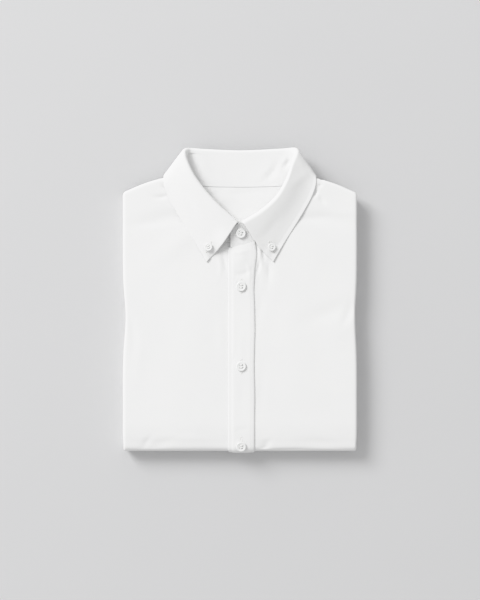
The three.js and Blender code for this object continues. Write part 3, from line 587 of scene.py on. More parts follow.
def leafRelief(grid):
    x, y, z = np.moveaxis(grid, -1, 0)
    number = np.arange(grid.shape[1]) - rollColumns
    downLeaf = np.clip(number / (grid.shape[1] - rollColumns), 0, 1)
    edges = [np.linalg.norm(grid - edge, axis=2) for edge in (grid[:, -1:], grid[:1], grid[-1:])]
    fromEdge, fromRight = np.min(edges, axis=0), edges[1]
    relief = creaseRelief(x, y, leafFolds) * (z > collar["creasesAbove"])
    relief += leafRipple["height"] * ripple(x, y, leafRipple["seed"], leafRipple["size"])
    relief -= collar["groove"] * bump(fromEdge - collar["edgeSeam"], collar["grooveWidth"])
    relief += collar["edgePuff"] * bump(fromEdge - collar["puffInset"], collar["puffWidth"])
    for part, way in (("lift", 1), ("sink", -1)):
        onWay = bump(downLeaf - frontEdges[part + "At"], frontEdges[part + "Width"])
        relief += way * frontEdges[part] * onWay * bump(fromRight, frontEdges[part + "Reach"])
    return relief * smooth((number + 3) / 4)


leafMiddle = leafMiddle + leafNormals * leafRelief(leafMiddle)[..., None]
collarLeaf = clothPiece("collar_leaf_cloth", "collar_leaf", [leafMiddle], collar["leafCloth"], firmCotton,
                        flush=["firstColumn"])
print("collar leaf made")

seamColumn = leafMiddle.shape[1] - 7
leafNormals = surfaceNormals(leafMiddle, leafNormals)
leafTop = leafMiddle + leafNormals * collar["leafCloth"] / 2
edgeRows, endColumns = slice(3, -3), slice(rollColumns - 4, seamColumn)
leafRuns = [seamRun(leafTop[edgeRows, seamColumn], leafNormals[edgeRows, seamColumn])]
for end, inside in ((0, 12), (-1, -13)):
    across = leafMiddle[inside] - leafMiddle[end]
    path = leafTop[end] + across * collar["edgeSeam"] / np.linalg.norm(across, axis=1, keepdims=True)
    leafRuns.append(seamRun(path[endColumns], leafNormals[end][endColumns]))
leafStitches = threadPiece("collar_leaf_stitching", leafRuns)


def standGrid(places, shares):  # a loop round the neck, with the lapped ends before and after it
    s = collarStations(places)
    reach = s["roll"] + legLength(places) + collar["standDrop"]
    tops = s["crest"] + s["down"] * reach - s["normal"] * s["roll"]
    ends = []
    for k, loop in enumerate((tops, s["seam"])):
        under, upper = ([row[k] for row in rows] for rows in (underLap[::-1], upperLap))
        before = splinePoints([*under, loop[0]], np.linspace(0, 2, 13))[:-1]
        after = splinePoints([loop[-1], *upper], np.linspace(0, 4, 33))[1:]
        ends.append(np.concatenate([before, loop, after]))
    return np.stack([mix(*ends, share) for share in shares], axis=1)


# seamStart and endInset count rows, and its creases lie behind the y of loopStart
standLook = {"seamShare": 0.93, "endInset": 4, "seamStart": 16, "loopStart": 100}
standFolds = [
    (42, 151, 50, 14, 2.4, -1.6, 1.5),
    (46, 155, 52, 12, 2.4, 1.2, 1.5),
    (37.5, 150, 56, 11, 2.2, -1.2, 1),
    (56, 158.5, 60, 5, 2.2, -2.0, 1),
    (33, 148, 48, 12, 3.4, 0.6, 0),
    (-55, 161.5, -58, 19, 6.5, -1.6, 0),
    (-40, 148, -54, 14, 4, 0.3, 0),
    (-30, 145, -60, 11, 3.4, -0.25, 0),
    (-12, 150, 82, 10, 4, -0.15, 0),
]
standShares = np.concatenate([[0, 0.02, 0.045], np.linspace(0.08, 0.9, 16), [0.93, 0.955, 0.98, 1]])
standMiddle = standGrid(np.linspace(0, lastPlace, 200), standShares)
standNormals = turnedUp(surfaceNormals(standMiddle))
relief = creaseRelief(standMiddle[..., 0], standMiddle[..., 1], standFolds)
relief *= standMiddle[..., 1] > standLook["loopStart"]
standMiddle = standMiddle + standNormals * relief[..., None]
collarStand = clothPiece("collar_stand_cloth", "collar_stand", [standMiddle], collar["standCloth"],
                         firmCotton, flush=["firstColumn", "lastColumn"])

standUps = turnedUp(surfaceNormals(standMiddle))
standTop = standMiddle + standUps * collar["standCloth"] / 2
seamColumn = int(np.argmin(np.abs(standShares - standLook["seamShare"])))
lapRow = len(standMiddle) - standLook["endInset"]
standSeams = ((slice(standLook["seamStart"], lapRow + 1), seamColumn), (lapRow, slice(3, seamColumn + 1)))
standRuns = [seamRun(standTop[rows, columns], standUps[rows, columns]) for rows, columns in standSeams]
standStitches = threadPiece("collar_stand_stitching", standRuns)
print("collar stand made")


# the fronts

frontSizes = {"edgeRight": 10.6, "edgeLeft": 11.4, "lapStart": 0.17, "curlSteps": 18, "hemDepth": 9,
              "hemGroove": 0.3, "hemWidth": 0.9, "neckGap": 0.08, "shoulderGap": 2.4, "neckX": 77,
              "armX": 117, "cornerBack": 0.2, "armDrop": 38, "chestDrop": 44, "chestY": 46}
# the right front gives way under the lapped stand
neckDips = {-1: [(-8, 66.5, -27, 20, 7, -1.6, 0)], 1: []}


def frontEdge(side):
    return frontSizes["edgeLeft" if side > 0 else "edgeRight"]


def neckPoint(row, side, gap=frontSizes["neckGap"]):  # on the neck seam, in collar rows from the front
    s = collarStations(np.array([row if side < 0 else lastPlace - row]))
    away = (s["seam"][0] - s["crest"][0]) * (1, 1, 0)
    return s["seam"][0] + unit(away) * gap


def frontRows(side):  # rows of a front from the shoulder down: inner end, outer end, way out, turn back
    half, radius, full = halfWidth(side), outline["cornerRadius"], stack["turnBack"]
    cornerBack, chestY = frontSizes["cornerBack"], frontSizes["chestY"]
    rows = []
    for step in np.linspace(0, 1, 17):
        x = mix(frontSizes["neckX"], frontSizes["armX"], step)
        slope = outline["shoulderSlope"] + 2 * outline["shoulderBend"] * max(x - outline["shoulderX"], 0)
        gap = mix(frontSizes["shoulderGap"], frontSizes["neckGap"], min(step * 3, 1))
        inner = neckPoint(mix(4, 2.5, step), side, gap)
        rows.append((inner, (side * x, shoulderHeight(x)), unit(np.array([side * slope, 1, 0])), full))
    cornerY = shoulderHeight(half - radius) - radius * 1.06
    arc = []
    for step in np.linspace(0, 1, 9):
        turn = math.radians(outline["cornerTurn"] * (1 - step))
        out = np.array([side * math.cos(turn), math.sin(turn), 0])
        edge = (side * (half - radius) + out[0] * radius, cornerY + out[1] * radius)
        arc.append((neckPoint(mix(2, 1.5, step), side), edge, out, cornerBack))
    shoulder, corner = rows[-1], arc[0]
    for step in np.linspace(0, 1, 7)[1:-1]:
        edge = tuple(mix(np.array(shoulder[1]), np.array(corner[1]), step))
        out, back = unit(mix(shoulder[2], corner[2], step)), mix(full, cornerBack, step)
        rows.append((neckPoint(mix(2.5, 2, step), side), edge, out, back))
    rows += arc
    lastRow = 0 if side < 0 else frontSizes["lapStart"]
    sideways = np.array([side, 0.0, 0.0])
    for step in np.linspace(0, 1, 17)[1:]:
        y = cornerY - frontSizes["armDrop"] * step
        inner, back = neckPoint(mix(1.5, lastRow, step), side), mix(cornerBack, full, min(step * 3, 1))
        rows.append((inner, (side * sideReach(y, side), y), sideways, back))
    tops = rows[-1][0][1] - 2 * seamGap, cornerY - frontSizes["chestDrop"]  # of the inner and the outer ends
    ends = [[mix(top, chestY, step) for top in tops] for step in np.linspace(0, 1, 12)]
    ends += [(y, y) for y in np.linspace(chestY, stack["foldStart"], 86)[1:-1]]
    for innerY, y in ends:
        inner = np.array([frontEdge(side), innerY, 0])
        rows.append((inner, (side * sideReach(y, side), y), sideways, full))
    return rows


def frontShares(side):  # columns are closest together beside the placket
    width = halfWidth(side) - stack["curlRadius"] - frontCloth / 2 - side * frontEdge(side)
    covered = side * (placketSizes["left" if side > 0 else "right"] - frontEdge(side))
    steps = [np.linspace(0, covered - 2, 5 if side > 0 else 10), np.linspace(covered - 1, covered + 17, 16),
             np.linspace(covered + 19, width, 46)]
    return np.concatenate(steps) / width


def frontGrid(side):
    shares, radius = frontShares(side), stack["curlRadius"]
    inset = radius + frontCloth / 2
    turns = np.radians(np.linspace(0, 180, frontSizes["curlSteps"] + 1)[1:])
    arcPlaces = np.stack(foldArc(turns, stack["sideSquareness"], stack["lowerSquareness"]), axis=-1)
    backs = np.array([0.33, 0.66, 1.0])
    arcs = np.concatenate([turns * radius, radius * math.pi + stack["turnBack"] * backs])
    base, normals, placeY, fade, ways = [], [], [], [], []

    def addRow(points, normal, out, back, flatY):  # goes on round the folded side and back under it
        start, level = points[-1], normal[-1]
        curl = [start + out * radius * a - level * radius * (1 - b) for a, b, _, _ in arcPlaces]
        curlNormals = [unit(level * d + out * c) for _, _, c, d in arcPlaces]
        flap = [curl[-1] - out * back * b for b in backs]
        base.append(np.concatenate([points, curl, flap]))
        normals.append(np.concatenate([normal, curlNormals, [-level] * len(backs)]))
        placeY.append(np.concatenate([flatY, [flatY[-1]] * len(arcs)]))
        fade.append(np.concatenate([np.ones(len(points)), smooth(1.6 - turns / 1.6), 0 * backs]))
        flat = np.stack([points[:, 0], flatY], axis=-1)
        ways.append(np.concatenate([flat, flat[-1:] + out[None, :2] * arcs[:, None]]))

    for inner, edge, out, back in frontRows(side):
        start = np.array([*edge, 0]) - out * inset
        flat = mix(inner[None, :2], start[None, :2], shares[:, None])
        points, normal = clothPlace(flat[:, 0], stack["foldStart"] - flat[:, 1])
        addRow(points, normal, out, back, flat[:, 1])
    tail = outline["tailHem"] - stack["foldStart"]
    hem = tail - frontSizes["hemDepth"]
    steps = [np.linspace(0, foldLength, 30), foldLength + np.linspace(0, hem - 4, 60)[1:],
             foldLength + hem + np.linspace(-2.4, 2.4, 9), foldLength + np.linspace(hem + 4, tail, 4)]
    for travel in np.concatenate(steps):
        y = clothPlace(np.zeros(1), np.array([travel]))[0][0, 1]
        x = mix(frontEdge(side), side * (sideReach(y, side) - inset), shares)
        way = np.full_like(x, travel)
        points, normal = clothPlace(x, way)
        points = points - normal * recessAt(x, way)[:, None]
        addRow(points, normal, np.array([side, 0.0, 0.0]), stack["turnBack"], stack["foldStart"] - way)
    grid, normals, placeY, fade = (np.array(rows) for rows in (base, normals, placeY, fade))
    relief = frontRelief(grid[..., 0], placeY) + creaseRelief(grid[..., 0], placeY, neckDips[side])
    relief = mix(relief * fade, np.minimum(relief * fade, 0), underShare(stack["foldStart"] - placeY))
    hemAt = stack["foldStart"] - foldLength - hem
    relief -= frontSizes["hemGroove"] * bump(placeY - hemAt, frontSizes["hemWidth"])
    return grid + normals * relief[..., None], normals, np.array(ways)


# side, piece, node, and the columns of its hem that the placket covers
frontParts = [(-1, "right_front_cloth", "front_right", 26), (1, "left_front_cloth", "front_left", 8)]
fronts, hemRuns = {}, {}
for side, name, node, covered in frontParts:
    grid, normals, way = frontGrid(side)
    fronts[side] = clothPiece(name, node, [grid], frontCloth, piqueCotton, way, ["firstColumn"])
    hem = (-9, slice(covered, -22))
    run = seamRun(grid[hem] + normals[hem] * frontCloth / 2, normals[hem])
    hemRuns[side] = threadPiece(name.replace("cloth", "hem_stitching"), [run])
print("fronts made")


# the placket

placketLook = {"seamInset": 3.4, "groove": 0.26, "grooveWidth": 0.7, "edgeSlope": 3.0, "rightSlope": 7,
               "topGap": 0.1, "topRise": 1.6, "topStray": 66, "evenY": 48, "rows": 1.6, "seamTop": 60,
               "seamEnd": 3, "seamStep": 1.5}
# how far its left edge strays: y, reach, amount
placketWander = [(54, 13, 2.5), (12, 11, -0.8), (-32, 16, 0.5), (-76, 18, -0.5), (-112, 14, 0.3)]
placketFolds = [
    (2, 49, 86, 11, 8, 1.0, 0),
    (0, 55, 8, 9, 2.6, 0.4, 1),
    (4, 30, 12, 9, 3, -0.6, 2),
    (11, 34, 100, 10, 2.2, 0.45, 1),
    (-6, 22, 84, 6, 2, -0.25, 0),
    (2, -58, 88, 18, 4, 0.15, 0),
    (3, -110, 86, 20, 5, -0.15, 0),
    (-3, 18.5, 60, 5, 1.6, -0.35, 0),
    (5.6, 12.3, 120, 4, 1.5, -0.4, 1),
    (-7, -70, 80, 6, 2, -0.25, 0),
    (2, -150, 10, 9, 3, -0.2, 0),
]


def strayAt(y):
    return sum(amount * bump(y - middle, reach) for middle, reach, amount in placketWander)


lapEdge = standMiddle[-60:, -1]  # lower edge of the stand where it laps over
lapEdge = lapEdge[np.argsort(lapEdge[:, 0])]


def placketTop(x):
    return np.interp(x, lapEdge[:, 0], lapEdge[:, 1]) - placketLook["topGap"]


def placketSurface(x, travel):  # middle of the placket's cloth and its normal
    y = stack["foldStart"] - travel
    points, normals = clothPlace(x, travel)
    relief = (frontRelief(x, y) + creaseRelief(x, y, placketFolds)) * (1 - underShare(travel))
    left = placketSizes["left"] + strayAt(y)
    for seamX in (placketSizes["right"] + placketLook["seamInset"], left - placketLook["seamInset"]):
        relief = relief - placketLook["groove"] * bump(x - seamX, placketLook["grooveWidth"])
    rise = mix(placketLook["topRise"], placketRise, smooth((placketTop(x) - y) / placketLook["edgeSlope"]))
    inside = smooth((x - placketSizes["right"]) / placketLook["rightSlope"])
    inside = inside * smooth((left - x) / placketLook["edgeSlope"])
    return points + normals * (mix(edgeRise, rise, inside) - recessAt(x, travel) + relief)[..., None], normals


shares = np.concatenate([[0, 0.015, 0.03, 0.05], np.linspace(0.08, 0.92, 24), [0.95, 0.97, 0.985, 1]])
bottom = foldLength + outline["tailHem"] - stack["foldStart"]
topX = mix(placketSizes["right"], placketSizes["left"] + strayAt(placketLook["topStray"]), shares)
rows = [stack["foldStart"] - mix(placketTop(topX), placketLook["evenY"], step)
        for step in np.linspace(0, 1, 17)[:-1]]
rows += [np.full_like(shares, travel)
         for travel in np.arange(stack["foldStart"] - placketLook["evenY"], bottom, placketLook["rows"])]
travels = np.array(rows)
placketY = stack["foldStart"] - travels
placketX = mix(placketSizes["right"], placketSizes["left"] + strayAt(placketY), shares[None])
placketMiddle = placketSurface(placketX, travels)[0]
placketPiece = clothPiece("placket_cloth", "placket", [placketMiddle], placketCloth, firmCotton,
                          np.stack([placketX, placketY], axis=-1), ["firstRow"])

placketRuns = []
travel = np.arange(stack["foldStart"] - placketLook["seamTop"], bottom - placketLook["seamEnd"],
                   placketLook["seamStep"])
leftEdge = placketSizes["left"] + strayAt(stack["foldStart"] - travel)
for edge, inset in ((placketSizes["right"], placketLook["seamInset"]), (leftEdge, -placketLook["seamInset"])):
    path, ups = placketSurface(edge + inset + 0 * travel, travel)
    placketRuns.append(seamRun(path + ups * placketCloth / 2, ups))
placketStitches = threadPiece("placket_stitching", placketRuns)
print("placket made")


# the yoke inside the neck

yokeCloth = 1.2
yokeLook = {"seamGap": 0.32, "sideTuck": 1.6, "highest": 126, "rise": 2.6, "riseFrom": 108, "riseLength": 34,
            "columns": 49, "steps": 7}
yokeFolds = [(-20, 118, 40, 16, 6, 0.3, 0), (26, 112, -50, 18, 6, 0.35, 0), (2, 124, 4, 30, 4, -0.2, 0)]


def yokeGrid():  # from the neck seam at the back down to the front of the neck
    seams = ((9, -1), (10, -1), (11, -1), (10, 1), (9, 1))
    back = np.array([halfStation(collarRows[row], side)["seam"] for row, side in seams])
    columns = np.linspace(0, 1, yokeLook["columns"])
    rows = [splinePoints(back, columns * (len(back) - 1)) - np.array([0, yokeLook["seamGap"], 0])]
    for row in (4, 3, 2, 1):
        right, left = (halfStation(collarRows[row], side)["seam"] for side in (-1, 1))
        y = min((right[1] + left[1]) / 2, yokeLook["highest"])
        start = np.array([right[0] - yokeLook["sideTuck"], y, 0])
        end = np.array([left[0] + yokeLook["sideTuck"], y, 0])
        rows.append(mix(start, end, columns[:, None]))
    steps = np.linspace(0, 1, yokeLook["steps"] + 1)[1:]
    grid = np.array(rows[:1] + [mix(a, b, step) for a, b in zip(rows[:-1], rows[1:]) for step in steps])
    rise = yokeLook["rise"] * smooth((yokeLook["riseFrom"] - grid[..., 1]) / yokeLook["riseLength"])
    creases = creaseRelief(grid[..., 0], grid[..., 1], yokeFolds)
    grid[..., 2] = stack["yokeTop"] - yokeCloth / 2 + rise + creases
    return grid


yokeMiddle = yokeGrid()
yokePiece = clothPiece("yoke_cloth", "yoke", [yokeMiddle], yokeCloth, piqueCotton, yokeMiddle[..., :2],
                       ["firstRow"])
print("yoke made")


# the hidden layers, as plies of cloth

# name, low, high, plies, half width (0 follows the outline), inset, top, bottom
layerRows = [
    ("back_layers", 12.2, 14.6, 2, 72, 0, 128.5, 30),
    ("sleeve_layers", 8.8, 12.1, 3, 112, 0, 114, -158),
    ("upper_tail_layers", 6.7, 8.7, 2, 0, 3.9, 116, -162),
    ("back_tail_layers", 4.3, 6.7, 2, 0, 2.2, 121.6, -163),
    ("lower_tail_layers", 1.7, 4.3, 2, 0, 3.6, 118.2, -162),
]
layerLook = {"wave": 0.9, "waves": 9, "waveFade": 60, "stagger": 1.3, "topStagger": 1.6, "share": 0.84,
             "channel": 23.8, "channelTop": 3.7, "channelInset": 6, "channelSlope": 8, "firstSeed": 20}
plyRipple = {"height": 0.12, "size": 60}


def plyGrid(low, high, half, inset, top, bottom, seed):
    ys = np.linspace(bottom, top, 44)[:, None]
    across = np.linspace(-1, 1, 61)[None]
    reach = half or np.where(across > 0, sideReach(ys, 1), sideReach(ys, -1)) - inset
    x = across * reach + 0 * ys
    wave = layerLook["wave"] * np.sin(across * layerLook["waves"] + low)
    y = ys + wave * smooth((ys - top) / layerLook["waveFade"] + 1)
    z = (low + high) / 2 + plyRipple["height"] * ripple(x, y, seed, plyRipple["size"])
    # room for the placket where it lies underneath
    outside = np.abs(x - placketCentre) - layerLook["channel"] + layerLook["channelInset"]
    lifted = np.maximum(z, layerLook["channelTop"] + (high - low) / 2)
    z = mix(z, lifted, 1 - smooth(outside / layerLook["channelSlope"]))
    return np.stack([x, y, z], axis=-1)


# plies inside the bottom fold: turned round it one inside the other
foldPlies = {"half": 112, "radii": [8.1, 6.2, 4.3], "straight": 1.9, "thickness": 1.4, "wave": 0.3,
             "waveLength": 17}
shoulderPlies = {"levels": [15.4, 17.3, 19.2], "thickness": 1.4, "stagger": 1.1, "inset": 3.4, "bottom": -160,
                 "middleX": 100, "armTuck": 4, "neckX": 76, "neckEnd": 42, "neckLength": 74, "leastX": 0.4,
                 "seed": 61}


def foldPly(radius):
    straight, turns = [foldPlies["straight"]], np.linspace(0, math.pi, 25)
    y = np.concatenate([straight, -radius * np.sin(turns), straight])[:, None] + stack["foldStart"]
    z = np.concatenate([[radius], radius * np.cos(turns), [-radius]])[:, None] + frontCloth / 2 + foldRadius
    x = np.linspace(-1, 1, 41)[None] * (foldPlies["half"] - radius / 2) + 0 * y
    wave = foldPlies["wave"] * np.sin(x / foldPlies["waveLength"] + radius)
    return np.stack([x, y + wave, z + 0 * x], axis=-1)


def shoulderEdge(x, back):
    return shoulderHeight(x) - shoulderPlies["inset"] - back


def shoulderPly(side, level, back):  # one side of the yoke and back under the front, beside the neck
    across = np.linspace(0, 1, 29)
    bottomY = shoulderPlies["bottom"] + back
    points = []
    for row in np.linspace(0, 1, 60):
        wayDown = row ** 1.2
        middleY = mix(shoulderEdge(shoulderPlies["middleX"], back), bottomY, wayDown)
        tuck = shoulderPlies["inset"] + shoulderPlies["armTuck"] * (1 - smooth(row * 6)) + back
        neck = smooth((middleY - shoulderPlies["neckEnd"]) / shoulderPlies["neckLength"]) ** 0.6
        inner = max(shoulderPlies["neckX"] * neck, shoulderPlies["leastX"])
        x = mix(inner, sideReach(middleY, side) - tuck, across)
        y = mix(shoulderEdge(x, back), bottomY, wayDown)
        z = level + plyRipple["height"] * ripple(x, y, shoulderPlies["seed"], plyRipple["size"])
        points.append(np.stack([side * x, y, z], axis=-1))
    return np.array(points)


folds = clothPiece("fold_layers", "folded_layers", [foldPly(radius) for radius in foldPlies["radii"]],
                   foldPlies["thickness"], piqueCotton)
for side, name in ((-1, "right_shoulder_layers"), (1, "left_shoulder_layers")):
    levels = shoulderPlies["levels"]
    grids = [shoulderPly(side, level, shoulderPlies["stagger"] * (k % 2)) for k, level in enumerate(levels)]
    piece = clothPiece(name, "folded_layers", grids, shoulderPlies["thickness"], piqueCotton)
for number, (name, low, high, plies, half, inset, top, bottom) in enumerate(layerRows):
    pitch = (high - low) / plies
    thick = pitch * layerLook["share"]
    grids = []
    for ply in range(plies):
        back, seed = layerLook["stagger"] * (ply % 2), layerLook["firstSeed"] + number * 5 + ply
        middle = low + pitch * (ply + 0.5)
        grids.append(plyGrid(middle - thick / 2, middle + thick / 2, half and half - back, inset + back,
                             top - back * layerLook["topStagger"], bottom + back, seed))
    piece = clothPiece(name, "folded_layers", grids, thick, piqueCotton)
print("hidden layers made")


# buttons

buttonLook = {"sides": 48, "holeSides": 16, "hole": 0.135, "spread": 0.255, "flatness": 0.78,
              "threadRadius": 0.34, "strandGap": 0.42, "threadRise": 0.66, "threadLift": 0.2,
              "middleLift": 0.12, "threadSpare": 0.9, "shankStrands": 7, "shankRadius": 0.75,
              "shankLength": 2.2, "shankThread": 0.3, "shankSink": 0.36}
# shares of radius and thickness, from the middle of the underside round the rim to the hollow of the top
buttonProfile = [(0.0, 0.0), (0.74, 0.0), (0.86, 0.1), (0.95, 0.26), (0.995, 0.46), (0.995, 0.56),
                 (0.97, 0.68), (0.92, 0.78), (0.85, 0.82), (0.78, 0.81), (0.72, 0.77), (0.66, 0.72),
                 (0.6, 0.69), (0.45, 0.66), (0.0, 0.65)]
buttonCorner = math.radians(38)  # sharper edges than this stay sharp


def buttonPlace(node):  # middle of its underside, its way up and its size, from the frame
    co = np.array([v.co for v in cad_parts[node].data.vertices]) / mm
    middle = (co.max(axis=0) + co.min(axis=0)) / 2
    normal = np.linalg.svd(co - co.mean(axis=0))[2][2]
    normal = normal if normal[2] > 0 else -normal
    heights = (co - middle) @ normal
    across = np.linalg.norm(co - middle - heights[:, None] * normal, axis=1)
    return middle + normal * heights.min(), normal, across.max(), heights.max() - heights.min()


def ringAt(radius, height, sides, x=0.0, y=0.0):
    return [(x + radius * math.cos(a), y + radius * math.sin(a), height) for a in fullTurn(sides)]


def buttonBody(name, radius, thick):
    sides, rings = buttonLook["sides"], buttonProfile[1:-1]
    points, faces = [(0, 0, 0)], []
    for r, h in rings:
        points += ringAt(radius * r, thick * h, sides)
    last, top = 1 + (len(rings) - 1) * sides, len(points)
    points.append((0, 0, thick * buttonProfile[-1][1]))
    for k in range(sides):
        nextK = (k + 1) % sides
        faces.append((0, 1 + nextK, 1 + k))
        faces += [(a + k, a + nextK, a + sides + nextK, a + sides + k) for a in range(1, last, sides)]
        faces.append((last + k, last + nextK, top))
    return meshPiece(name, points, faces, buttonResin)


def cutHoles(button, hole, spread, thick):
    sides = buttonLook["holeSides"]
    points, faces = [], []
    for x, y in ((1, 1), (-1, 1), (-1, -1), (1, -1)):
        faces += [tuple(i + len(points) for i in face) for face in tubeFaces(2, sides)]
        for height in (-1, thick + 1):
            points += ringAt(hole, height, sides, x * spread, y * spread)
    cutter = bpy.data.meshes.new("drill")
    cutter.from_pydata((np.array(points) * mm).tolist(), [], faces)
    drill = bpy.data.objects.new("drill", cutter)
    bpy.context.scene.collection.objects.link(drill)
    cut = button.modifiers.new("holes", "BOOLEAN")
    cut.operation, cut.object, cut.solver = "DIFFERENCE", drill, "EXACT"
    graph = bpy.context.evaluated_depsgraph_get()
    shaped = bpy.data.meshes.new_from_object(button.evaluated_get(graph))
    button.modifiers.clear()
    button.data = shaped
    bpy.data.objects.remove(drill)
    shaped.polygons.foreach_set("use_smooth", [True] * len(shaped.polygons))
    shaped.set_sharp_from_angle(angle=buttonCorner)


def buttonPiece(name, node, turn):  # gives back the runs of its thread
    seat, normal, radius, thick = buttonPlace(node)
    thick *= buttonLook["flatness"]
    hole, spread = radius * buttonLook["hole"], radius * buttonLook["spread"]
    button = buttonBody(name, radius, thick)
    cutHoles(button, hole, spread, thick)
    a = math.radians(turn)
    ahead = unit(np.cross(normal, np.array([math.sin(a), math.cos(a), 0])))
    beside = np.cross(normal, ahead)
    axes = np.stack([ahead, beside, normal], axis=1)
    co = np.array([v.co for v in button.data.vertices]) @ axes.T + seat * mm
    button.data.vertices.foreach_set("co", co.astype(np.float32).ravel())
    button.data.update()
    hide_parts(node)

    centres = []
    onTop = thick * buttonLook["threadRise"] + buttonLook["threadLift"]
    for row in (-1, 1):  # two bars of thread, each of three strands
        for strand in (-1, 0, 1):
            offset = beside * (row * spread + strand * hole * buttonLook["strandGap"])
            centres.append(seat + offset + normal * (onTop + buttonLook["middleLift"] * (strand == 0)))
    bar = {"length": spread * 2 + hole * buttonLook["threadSpare"], "radius": buttonLook["threadRadius"],
           "sink": 0.0}
    turns = fullTurn(buttonLook["shankStrands"])[:, None]
    ring = (ahead * np.cos(turns) + beside * np.sin(turns)) * buttonLook["shankRadius"]
    middles = seat + ring - normal * (buttonLook["shankLength"] * buttonLook["shankSink"])
    shank = {"length": buttonLook["shankLength"], "radius": buttonLook["shankThread"], "sink": 0.0}
    return [(np.array(centres), ahead, normal, bar), (middles, normal, ahead, shank)]


buttonRows = [
    ("front_button_1", "button_front_1", 8), ("front_button_2", "button_front_2", -6),
    ("front_button_3", "button_front_3", 14), ("stand_button", "button_collar_stand", 20),
    ("point_button_right", "button_point_right", -12), ("point_button_left", "button_point_left", 12),
]
threadRuns = []
for name, node, turn in buttonRows:
    threadRuns += buttonPiece(name, node, turn)
threadPiece("button_threads", threadRuns)
print("buttons made")


# buttonholes: close stitches on both sides of a slit, with a bar at each end

holeLook = {"pitch": 0.52, "slit": 0.3, "barPlaces": (-0.48, -0.16, 0.16, 0.48), "barPast": 0.5,
            "leastUp": 0.4}
holeStitch = {"length": 1.5, "radius": 0.24, "sink": 0.08}
barStitch = {"length": 2 * holeStitch["length"] + holeLook["slit"], "radius": 0.26, "sink": 0.02}
# button, its cloth, half length, turn from the x axis
holeRows = [
    ("button_front_1", "placket", 7.6, 90), ("button_front_2", "placket", 7.6, 90),
    ("button_front_3", "placket", 7.6, 90), ("button_collar_stand", "stand", 7.6, 13),
    ("button_point_right", "leaf", 6.2, 64), ("button_point_left", "leaf", 6.2, 116),
]
holeClothes = {"stand": (standMiddle[-34:], collar["standCloth"]),
               "leaf": (leafMiddle[:, rollColumns:], collar["leafCloth"])}


def layOn(clothName, seat, xy):  # points on the top of a cloth, and its way up there
    if clothName == "placket":
        nearest = nearestRows(placketMiddle.reshape(-1, 3), seat[None])[0]
        travel = travels.ravel()[nearest] - (xy[:, 1] - seat[1])
        points, ups = placketSurface(xy[:, 0], travel)
        return points + ups * placketCloth / 2, ups
    grid, thickness = holeClothes[clothName]
    ups = turnedUp(surfaceNormals(grid)).reshape(-1, 3)
    points = grid.reshape(-1, 3) + ups * thickness / 2
    onTop = (ups[:, 2] > holeLook["leastUp"]) & (points[:, 2] > stack["top"])
    points, ups = points[onTop], ups[onTop]
    nearest = nearestRows(points[:, :2], xy)
    at, way = points[nearest], ups[nearest]
    z = at[:, 2] - np.sum((xy - at[:, :2]) * way[:, :2], axis=1) / way[:, 2]
    return np.concatenate([xy, z[:, None]], axis=1), way


def holeRun(clothName, seat, along, places, sizes):  # stitches across the way of the slit
    centres, ups = layOn(clothName, seat, seat[:2] + places)
    return centres, unit(np.cross(ups, np.array([*along, 0]))), ups, sizes


holeRuns = []
for node, clothName, half, turn in holeRows:
    seat, a = buttonPlace(node)[0], math.radians(turn)
    along, beside = np.array([math.cos(a), math.sin(a)]), np.array([-math.sin(a), math.cos(a)])
    steps = along * np.arange(-half, half, holeLook["pitch"])[:, None]
    barSteps = along * np.array(holeLook["barPlaces"])[:, None]
    for side in (-1, 1):
        aside = beside * side * (holeLook["slit"] + holeStitch["length"]) / 2
        holeRuns.append(holeRun(clothName, seat, along, steps + aside, holeStitch))
    for end in (-1, 1):
        past = along * end * (half + holeLook["barPast"])
        holeRuns.append(holeRun(clothName, seat, along, barSteps + past, barStitch))
buttonholes = threadPiece("buttonhole_stitching", holeRuns)
print("buttonholes made")


# floor, light and camera

studio = {"floor": (0.68, 0.68, 0.685), "floorShade": 0.985, "floorHalf": 5.0, "keyPower": 440,
          "keySize": 3.6, "keyAway": 8, "keyTurn": 136, "keyRise": 36, "world": 0.6, "lens": 85,
          "sensor": 36, "farClip": 20, "frameHeight": 0.696, "aimX": 0.00058, "aimY": 0.0, "aimZ": 0.018}
# even up to the lit cloth, then softly rolled off above it
toneWhite = 1.4
toneCurve = [(0.3, 0.3), (0.6, 0.6), (0.8, 0.82), (0.95, 0.915), (1.15, 0.955), (1.4, 0.97)]


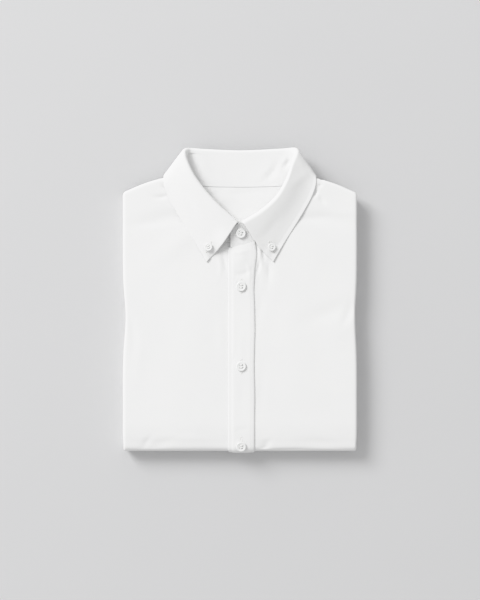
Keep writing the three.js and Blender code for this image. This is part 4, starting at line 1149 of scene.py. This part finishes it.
def floorPiece():
    half = studio["floorHalf"]
    mesh = bpy.data.meshes.new("floor")
    corners = [(-half, -half, 0), (half, -half, 0), (half, half, 0), (-half, half, 0)]
    mesh.from_pydata(corners, [], [(0, 1, 2, 3)])
    material, tree, shader = startMaterial("paperFloor", {"Roughness": 0.9})
    grain = addNode(tree, "TexNoise", "Fac", {"Scale": 60}, {})
    look = {"white": studio["floor"], "shade": [c * studio["floorShade"] for c in studio["floor"]]}
    tree.links.new(toneRamp(tree, grain, look), shader.inputs["Base Color"])
    mesh.materials.append(material)
    floor = bpy.data.objects.new("floor", mesh)
    bpy.context.scene.collection.objects.link(floor)


def lightStudio():
    turn, rise = math.radians(studio["keyTurn"]), math.radians(studio["keyRise"])
    way = np.array([math.cos(turn) * math.cos(rise), math.sin(turn) * math.cos(rise), math.sin(rise)])
    key = bpy.data.lights.new("key", "AREA")
    key.energy, key.size = studio["keyPower"], studio["keySize"]
    lamp = bpy.data.objects.new("key", key)
    lamp.location = (way * studio["keyAway"]).tolist()
    lamp.rotation_euler = (math.pi / 2 - rise, 0, turn + math.pi / 2)
    bpy.context.scene.collection.objects.link(lamp)
    world = bpy.context.scene.world or bpy.data.worlds.new("studio")
    bpy.context.scene.world = world
    world.use_nodes = True
    world.node_tree.nodes["Background"].inputs["Color"].default_value = (1, 1, 1, 1)
    world.node_tree.nodes["Background"].inputs["Strength"].default_value = studio["world"]


def setCamera():
    data = bpy.data.cameras.new("camera")
    data.lens, data.sensor_width, data.sensor_fit = studio["lens"], studio["sensor"], "AUTO"
    camera = bpy.data.objects.new("camera", data)
    away = studio["frameHeight"] * studio["lens"] / studio["sensor"]
    camera.location = (studio["aimX"], studio["aimY"], studio["aimZ"] + away)
    data.clip_end = studio["farClip"]
    bpy.context.scene.collection.objects.link(camera)
    bpy.context.scene.camera = camera


def setTones():
    view = bpy.context.scene.view_settings
    view.view_transform = "Standard"
    view.use_curve_mapping = True
    view.curve_mapping.white_level = (toneWhite,) * 3
    curve = view.curve_mapping.curves[3]
    curve.points[-1].location = (1, toneCurve[-1][1])
    for light, shown in toneCurve[:-1]:
        curve.points.new(light / toneWhite, shown)
    view.curve_mapping.update()


floorPiece()
lightStudio()
setCamera()
setTones()
print("studio set")
